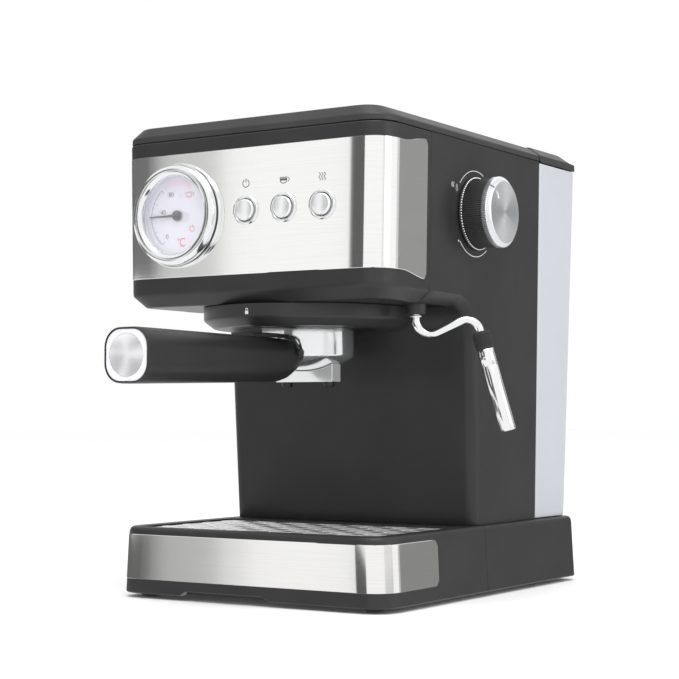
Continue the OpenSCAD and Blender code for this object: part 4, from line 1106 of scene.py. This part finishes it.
def knob():
    v, f = revolve([(24.8, 108.9), (25.6, 108.9), (25.6, 109.7), (25.35, 110.2), (24.9, 110.35)], (0, KY, KZ), (1, 0, 0), 120, closed=True)
    a = (v, f)
    beads = []
    n = 84
    for k in range(n):
        t = 2 * math.pi * k / n
        c = (0, KY + 25.1 * math.cos(t), KZ + 25.1 * math.sin(t))
        beads.append(revolve([(0, 111.1), (0.4, 110.95), (0.6, 110.4), (0.6, 109.6), (0, 109.6)], c, (1, 0, 0), 10))
    v, f = a
    build("knob_base_ring", v, f, "dark", "machine", ["knob_ring"], sharp=60, weighted=False)
    v, f = merge(*beads)
    build("knob_base_beads", v, f, "chrome", "machine", [], sharp=60, weighted=False)
    # ribbed skirt: 100 round-backed teeth
    teeth = 100
    per = 6
    outline = []
    for k in range(teeth * per):
        t = 2 * math.pi * k / (teeth * per)
        u = (k % per) / per
        outline.append((t, 23.55 + 0.65 * (0.5 - 0.5 * math.cos(2 * math.pi * u)) ** 0.7))
    rings = []
    for x, d in ((109.4, -0.9), (109.9, -0.2), (110.5, 0.0), (118, 0.0), (126.4, 0.0), (127.1, -0.3), (127.4, -0.9)):
        rings.append([V(x, KY + (r + d) * math.cos(t), KZ + (r + d) * math.sin(t)) for t, r in outline])
    inner = []
    for x, r in ((127.4, 4.2), (124.5, 4.2), (124.5, 21.3), (109.4, 21.3)):
        inner.append([V(x, KY + r * math.cos(t), KZ + r * math.sin(t)) for t, _ in outline])
    v, f = loft(rings + inner, False, False)
    m = len(outline)
    last = (len(rings) + len(inner) - 1) * m
    f += [(k, (k + 1) % m, last + (k + 1) % m, last + k) for k in range(m)]
    build("knob_ribbed_skirt", v, f, "knobplastic", "steam_knob", ["knob_body"], sharp=30, weighted=False)
    rings = []
    for x, r, d in ((125.5, 23.9, 0.0), (125.55, 24.25, 0.65), (128.9, 24.25, 0.65), (129.2, 24.2, 0.4), (129.5, 24.0, 0.0), (130.4, 23.0, 0.0), (131.2, 21.9, 0.0), (131.5, 21.3, 0.0), (131.6, 20.6, 0.0), (131.56, 20.0, 0.0), (131.5, 19.5, 0.0), (131.5, 12, 0.0), (131.5, 0.5, 0.0)):
        rings.append([V(x, KY + (r + d * (q - 23.55) / 0.65) * math.cos(t), KZ + (r + d * (q - 23.55) / 0.65) * math.sin(t)) for t, q in outline])
    v, f = loft(rings)
    o = build("knob_spun_cap", v, f, "spun", "steam_knob", ["knob_cap"], sharp=34, weighted=False)
    # oval finger dimple
    t = math.radians(135)
    cy, cz = KY + 15.6 * math.cos(t), KZ + 15.6 * math.sin(t)
    ring = []
    for x, s in ((133.5, 1.25), (131.55, 1.0), (131.1, 0.86), (130.8, 0.55)):
        ring.append([V(x, cy + s * (3.4 * math.cos(a) * math.cos(t) - 1.7 * math.sin(a) * math.sin(t)), cz + s * (3.4 * math.cos(a) * math.sin(t) + 1.7 * math.sin(a) * math.cos(t))) for a in [2 * math.pi * k / 32 for k in range(32)]])
    cut(o, raw(*loft(ring)))
    # black pointer line across the chamfer
    pts = []
    for x, r in ((128.9, 24.75), (131.35, 21.75)):
        for s in (-0.55, 0.55):
            a = t + s / r
            for l in (-0.05, 0.09):
                pts.append(V(x + l, KY + (r + l) * math.cos(a), KZ + (r + l) * math.sin(a)))
    v, f = pts, [(0, 1, 3, 2), (4, 6, 7, 5), (0, 4, 5, 1), (2, 3, 7, 6), (0, 2, 6, 4), (1, 5, 7, 3)]
    build("knob_pointer_line", v, f, "ink", "steam_knob", [], sharp=60, weighted=False)


def side_strip(pts, w, lift=0.06):
    """Drawn line on the right side face through (y, z) points."""
    rings = []
    n = len(pts)
    for i, p in enumerate(pts):
        a, b = pts[max(0, i - 1)], pts[min(n - 1, i + 1)]
        dy, dz = b[0] - a[0], b[1] - a[1]
        l = math.hypot(dy, dz) or 1
        ny, nz = -dz / l * w / 2, dy / l * w / 2
        x = hw(p[1])
        rings.append([V(x - 0.02, p[0] + ny, p[1] + nz), V(x + lift, p[0] + ny, p[1] + nz), V(x + lift, p[0] - ny, p[1] - nz), V(x - 0.02, p[0] - ny, p[1] - nz)])
    return loft(rings)


def side_print():
    def arc_pts(a0, a1, r=30.2, n=26):
        return [(KY + r * math.cos(math.radians(lerp(a0, a1, k / n))), KZ + r * math.sin(math.radians(lerp(a0, a1, k / n)))) for k in range(n + 1)]
    parts = [side_strip(arc_pts(140, 68), 0.55), side_strip(arc_pts(224, 306), 0.55)]
    parts.append(side_strip([(103.0 + 0.5 * math.cos(k), 245.4 + 0.5 * math.sin(k)) for k in [j * 0.8 for j in range(9)]], 0.5))
    for k in (-1.4, 0.0, 1.4):
        parts.append(side_strip([(93.5 + k + 0.45 * math.sin(t * 1.5), 281.9 + 0.6 * t) for t in range(7)], 0.4))
    parts.append(side_strip([(98.2, 280.6), (98.6, 283.4), (99.4, 284.6), (100.2, 283.4), (100.6, 280.6), (99.4, 279.8), (98.2, 280.6)], 0.4))
    v, f = merge(*parts)
    build("knob_scale_print", v, f, "print", "machine", [], sharp=60, weighted=False)


# --------------------------------------------------------------------- wand
WX, WY, WA = 90.0, 74.0, 22.0


def wpt(s, z):
    a = math.radians(WA)
    return V(WX + s * math.cos(a), WY + s * math.sin(a), z)


def wand():
    br, rise, steep = 10.0, 25.0, 15.5
    ctr = [(0, 211), (0, 205), (0, 198), (0, 194), (0, 191)]
    for k in range(0, 19):
        a = math.radians(180 + (90 + rise) * k / 18)
        ctr.append((br + br * math.cos(a), 190 + br * math.sin(a)))
    w1 = ctr[-1]
    w2 = (w1[0] + 17.5 * math.cos(math.radians(rise)), w1[1] + 17.5 * math.sin(math.radians(rise)))
    for k in range(1, 6):
        ctr.append((lerp(w1[0], w2[0], k / 6), lerp(w1[1], w2[1], k / 6)))
    wc = (w2[0] + br * math.sin(math.radians(rise)), w2[1] - br * math.cos(math.radians(rise)))
    for k in range(0, 19):
        a = math.radians(90 + rise - (90 + rise - steep) * k / 18)
        ctr.append((wc[0] + br * math.cos(a), wc[1] + br * math.sin(a)))
    w3 = ctr[-1]
    dr = (math.sin(math.radians(steep)), -math.cos(math.radians(steep)))

    def leg(t):
        return (w3[0] + t * dr[0], w3[1] + t * dr[1])
    ctr.append(leg(20))
    ctr.append(leg(64))
    parts = [tube([wpt(*p) for p in ctr], 2.85, 24)]
    parts.append(revolve([(2.6, 191.3), (4.1, 191.3), (4.35, 191.55), (4.35, 192.35), (4.1, 192.6), (2.6, 192.6)], (WX, WY, 0), (0, 0, 1), 40, closed=True))
    parts.append(revolve([(2.6, 206), (4.4, 206), (4.4, 211), (2.6, 211)], (WX, WY, 0), (0, 0, 1), 32, closed=True))
    v, f = merge(*parts)
    build("wand_bent_tube", v, f, "chrome", "steam_wand", ["wand_tube"], sharp=50, weighted=False)
    axis = wpt(dr[0], dr[1]) - wpt(0, 0)

    def about(prof, seg, name, mat, node, closed=True):
        a, u, w = basis(axis)
        o = wpt(*w3)
        verts, faces = [], []
        n = len(prof)
        for k in range(seg):
            t = 2 * math.pi * k / seg
            d = u * math.cos(t) + w * math.sin(t)
            for r, h in prof:
                verts.append(o + (d * r + a * h) / 1000)
        faces = grid_faces(seg, n, True, closed)
        return build(name, verts, faces, mat, "steam_wand", [node], sharp=46, weighted=False)
    # ribbed rubber grip
    prof = [(2.87, 13.0), (2.87, 0.8), (4.4, 0.8), (5.5, 1.2), (5.9, 1.9)]
    for k in range(9):
        h = 2.4 + 1.12 * k
        prof += [(5.95, h), (6.25, h + 0.2), (6.3, h + 0.45), (6.25, h + 0.7), (5.95, h + 0.9)]
    prof += [(5.9, 12.6), (5.5, 13.0)]
    about(prof, 48, "wand_rubber_grip", "rubber", "wand_grip")
    prof = [(2.87, 13.2), (5.1, 13.2), (5.45, 13.6), (5.45, 24.7), (5.3, 24.9), (5.3, 25.3), (5.45, 25.5), (5.45, 68.8), (5.2, 69.9), (4.5, 70.4), (1.2, 70.4), (1.2, 64.6), (2.87, 64.4)]
    about(prof, 64, "wand_chrome_sleeve", "sleeve", "wand_sleeve")
    v, f = revolve([(2.92, 193.2), (6.6, 193.2), (7.0, 193.6), (7.0, 200.0), (7.0, 203.2), (8.8, 203.3), (9.0, 205.3), (7.0, 205.5), (7.0, 216.0), (4.6, 216.0), (4.6, 205.6), (2.92, 205.6)], (WX, WY, 0), (0, 0, 1), 64, closed=True)
    build("wand_swivel_boss", v, f, "dark", "machine", ["wand_boss"], sharp=46)


def collar_mark():
    """Small closed padlock symbol on the front of the collar."""
    cx, cy = 0.0, 76.4
    a0 = math.radians(270 - 0.5)

    def P(u, z, l):
        t = a0 + u / 74.0
        return V(cx + (74.0 + l) * math.cos(t), cy + (74.0 + l) * math.sin(t), z)

    def quad(u0, u1, z0, z1):
        q = [P(u, z, l) for l in (-0.05, 0.07) for u, z in ((u0, z0), (u1, z0), (u1, z1), (u0, z1))]
        return q, [(0, 1, 2, 3), (4, 7, 6, 5), (0, 4, 5, 1), (1, 5, 6, 2), (2, 6, 7, 3), (3, 7, 4, 0)]
    parts = [quad(-1.3, 1.3, 192.9, 195.1), quad(-0.95, -0.6, 195.1, 196.7), quad(0.6, 0.95, 195.1, 196.7), quad(-0.95, 0.95, 196.6, 197.0)]
    v, f = merge(*parts)
    build("collar_lock_symbol", v, f, "print", "machine", [], sharp=60, weighted=False)


M["spun"] = spun("knob_spun_face", (0.90, 0.91, 0.93), tuple(V(0, KY, KZ)), 0.29)
M["keycap"] = metal("key_satin_silver", (0.93, 0.935, 0.94), 0.20, 0.04, 0.03, 140, 0.62)
M["satin"] = metal("cap_satin_silver", (0.93, 0.93, 0.95), 0.34, 0.04, 0.02, 120, 0.32)
M["dish"] = metal("cap_dish_silver", (0.94, 0.94, 0.96), 0.27, 0.01, 0.0, 30, 0.70)
M["spoutsteel"] = metal("spout_polished_alloy", (0.93, 0.935, 0.94), 0.16, 0.04, 0.02, 60, 0.6)
M["lipsteel"] = metal("pressed_lip_steel", (0.92, 0.92, 0.92), 0.25, 0.04, 0.02, 60, 0.6)
M["cupsteel"] = metal("cup_polished_alloy", (0.88, 0.89, 0.90), 0.13, 0.05, 0.02, 40, 0.90)
M["grille"].node_tree.nodes["Principled BSDF"].inputs["Metallic"].default_value = 1.0

head_front()
front_panel()
body_shell()
top_cover()
base_front()
base_rear()
base_band()
water_tank()
tank_lid()
group_collar()
cup()
spout()
spout_nozzles()
handle()
handle_cap()
filter_clip()
grille_lips()
bezel()
dial()
needle()
keys()
knob()
side_print()
wand()
collar_mark()

# CAD pieces that stay get eased edges where they show
for n, w in (("drip_grille", 0.00025), ("feet", 0.0004), ("head_underside", 0.0004), ("drip_tray", 0.0005)):
    o = NODES[n]
    md = o.modifiers.new("ease", "BEVEL")
    md.width = w
    md.segments = 2
    md.limit_method = "ANGLE"
    md.angle_limit = math.radians(50)

# ------------------------------------------------------------------- studio
floor_me = bpy.data.meshes.new("floor")
R = 14.0
floor_me.from_pydata([(R * math.cos(2 * math.pi * k / 64), R * math.sin(2 * math.pi * k / 64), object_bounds()[0].z - 0.0002) for k in range(64)], [], [tuple(range(64))])
floor = bpy.data.objects.new("studio_floor", floor_me)
bpy.context.scene.collection.objects.link(floor)
fm, fnt, fb = _mat("floor_pale")
fnt.links.new(_ramp(fnt, _noise(fnt, _coords(fnt), 3, 2), [(0.3, (0.985, 0.985, 0.985)), (0.7, (0.995, 0.995, 0.995))]), fb.inputs["Base Color"])
fb.inputs["Roughness"].default_value = 0.9
fb.inputs["Specular IOR Level"].default_value = 0.1
floor_me.materials.append(fm)

# an even pale surround, with three plain flags standing round the table
world = bpy.data.worlds.new("studio")
bpy.context.scene.world = world
world.use_nodes = True
bg = world.node_tree.nodes["Background"]
bg.inputs["Color"].default_value = (1.0, 1.0, 1.0, 1)
bg.inputs["Strength"].default_value = 1.0


def flag(name, a0, a1, grey, dist=2.6, z0=-0.5, z1=1.5):
    """Upright curved card from azimuth a0 to a1 (0 is in front, positive to the right)."""
    n = 16
    vs = []
    for k in range(n + 1):
        a = math.radians(lerp(a0, a1, k / n))
        for z in (z0, z1):
            vs.append((dist * math.sin(a), -dist * math.cos(a), z))
    me = bpy.data.meshes.new(name)
    me.from_pydata(vs, [], [(2 * k, 2 * k + 2, 2 * k + 3, 2 * k + 1) for k in range(n)])
    m, mnt, b = _mat(name)
    mnt.links.new(_ramp(mnt, _noise(mnt, _coords(mnt), 2, 2), [(0.3, grey * 0.95), (0.7, grey)]), b.inputs["Base Color"])
    b.inputs["Roughness"].default_value = 0.9
    b.inputs["Specular IOR Level"].default_value = 0.0
    me.materials.append(m)
    o = bpy.data.objects.new(name, me)
    bpy.context.scene.collection.objects.link(o)
    o.visible_camera = False
    o.visible_diffuse = False
    o.visible_shadow = False
    o.visible_transmission = False
    return o


floor.visible_glossy = False
flag("flag_front", -28.8, -5, 0.10, z0=0.17)
flag("flag_front_low", -28.8, -5, 0.10, z1=-0.08)
flag("flag_right", 72, 112, 0.70)
flag("flag_left", -118, -39.2, 0.14, z0=0.40)
flag("flag_left_low", -118, -39.2, 0.14, z1=-0.05)
flag("flag_left_soft", -39.2, -36.2, 0.52)
flag("flag_left_edge", -36.2, -34.9, 0.84)
flag("flag_rear_right", 142, 178, 0.27)
flag("flag_rear_right_soft", 136, 142, 0.58)


def area(name, loc, target, size, power, sy=None):
    ld = bpy.data.lights.new(name, "AREA")
    ld.shape = "RECTANGLE"
    ld.size = size
    ld.size_y = sy or size
    ld.energy = power
    lo = bpy.data.objects.new(name, ld)
    lo.location = loc
    lo.rotation_euler = (Vector(target) - Vector(loc)).to_track_quat("-Z", "Y").to_euler()
    bpy.context.scene.collection.objects.link(lo)
    return lo


area("key_overhead", (0.5, -0.7, 2.2), (0, 0, 0.15), 1.6, 26)
area("side_right", (2.2, 0.3, 0.9), (0.1, 0, 0.18), 1.1, 6)

cam_d = bpy.data.cameras.new("camera")
cam_d.sensor_width = 36
cam_d.lens = 90.61
cam_d.clip_start = 0.02
cam = bpy.data.objects.new("camera", cam_d)
cam.location = V(673.50, -936.66, 125.04)
cam.rotation_euler = (math.radians(92.5117), 0, math.radians(32.56))
bpy.context.scene.collection.objects.link(cam)
bpy.context.scene.camera = cam
bpy.context.scene.view_settings.view_transform = "Standard"
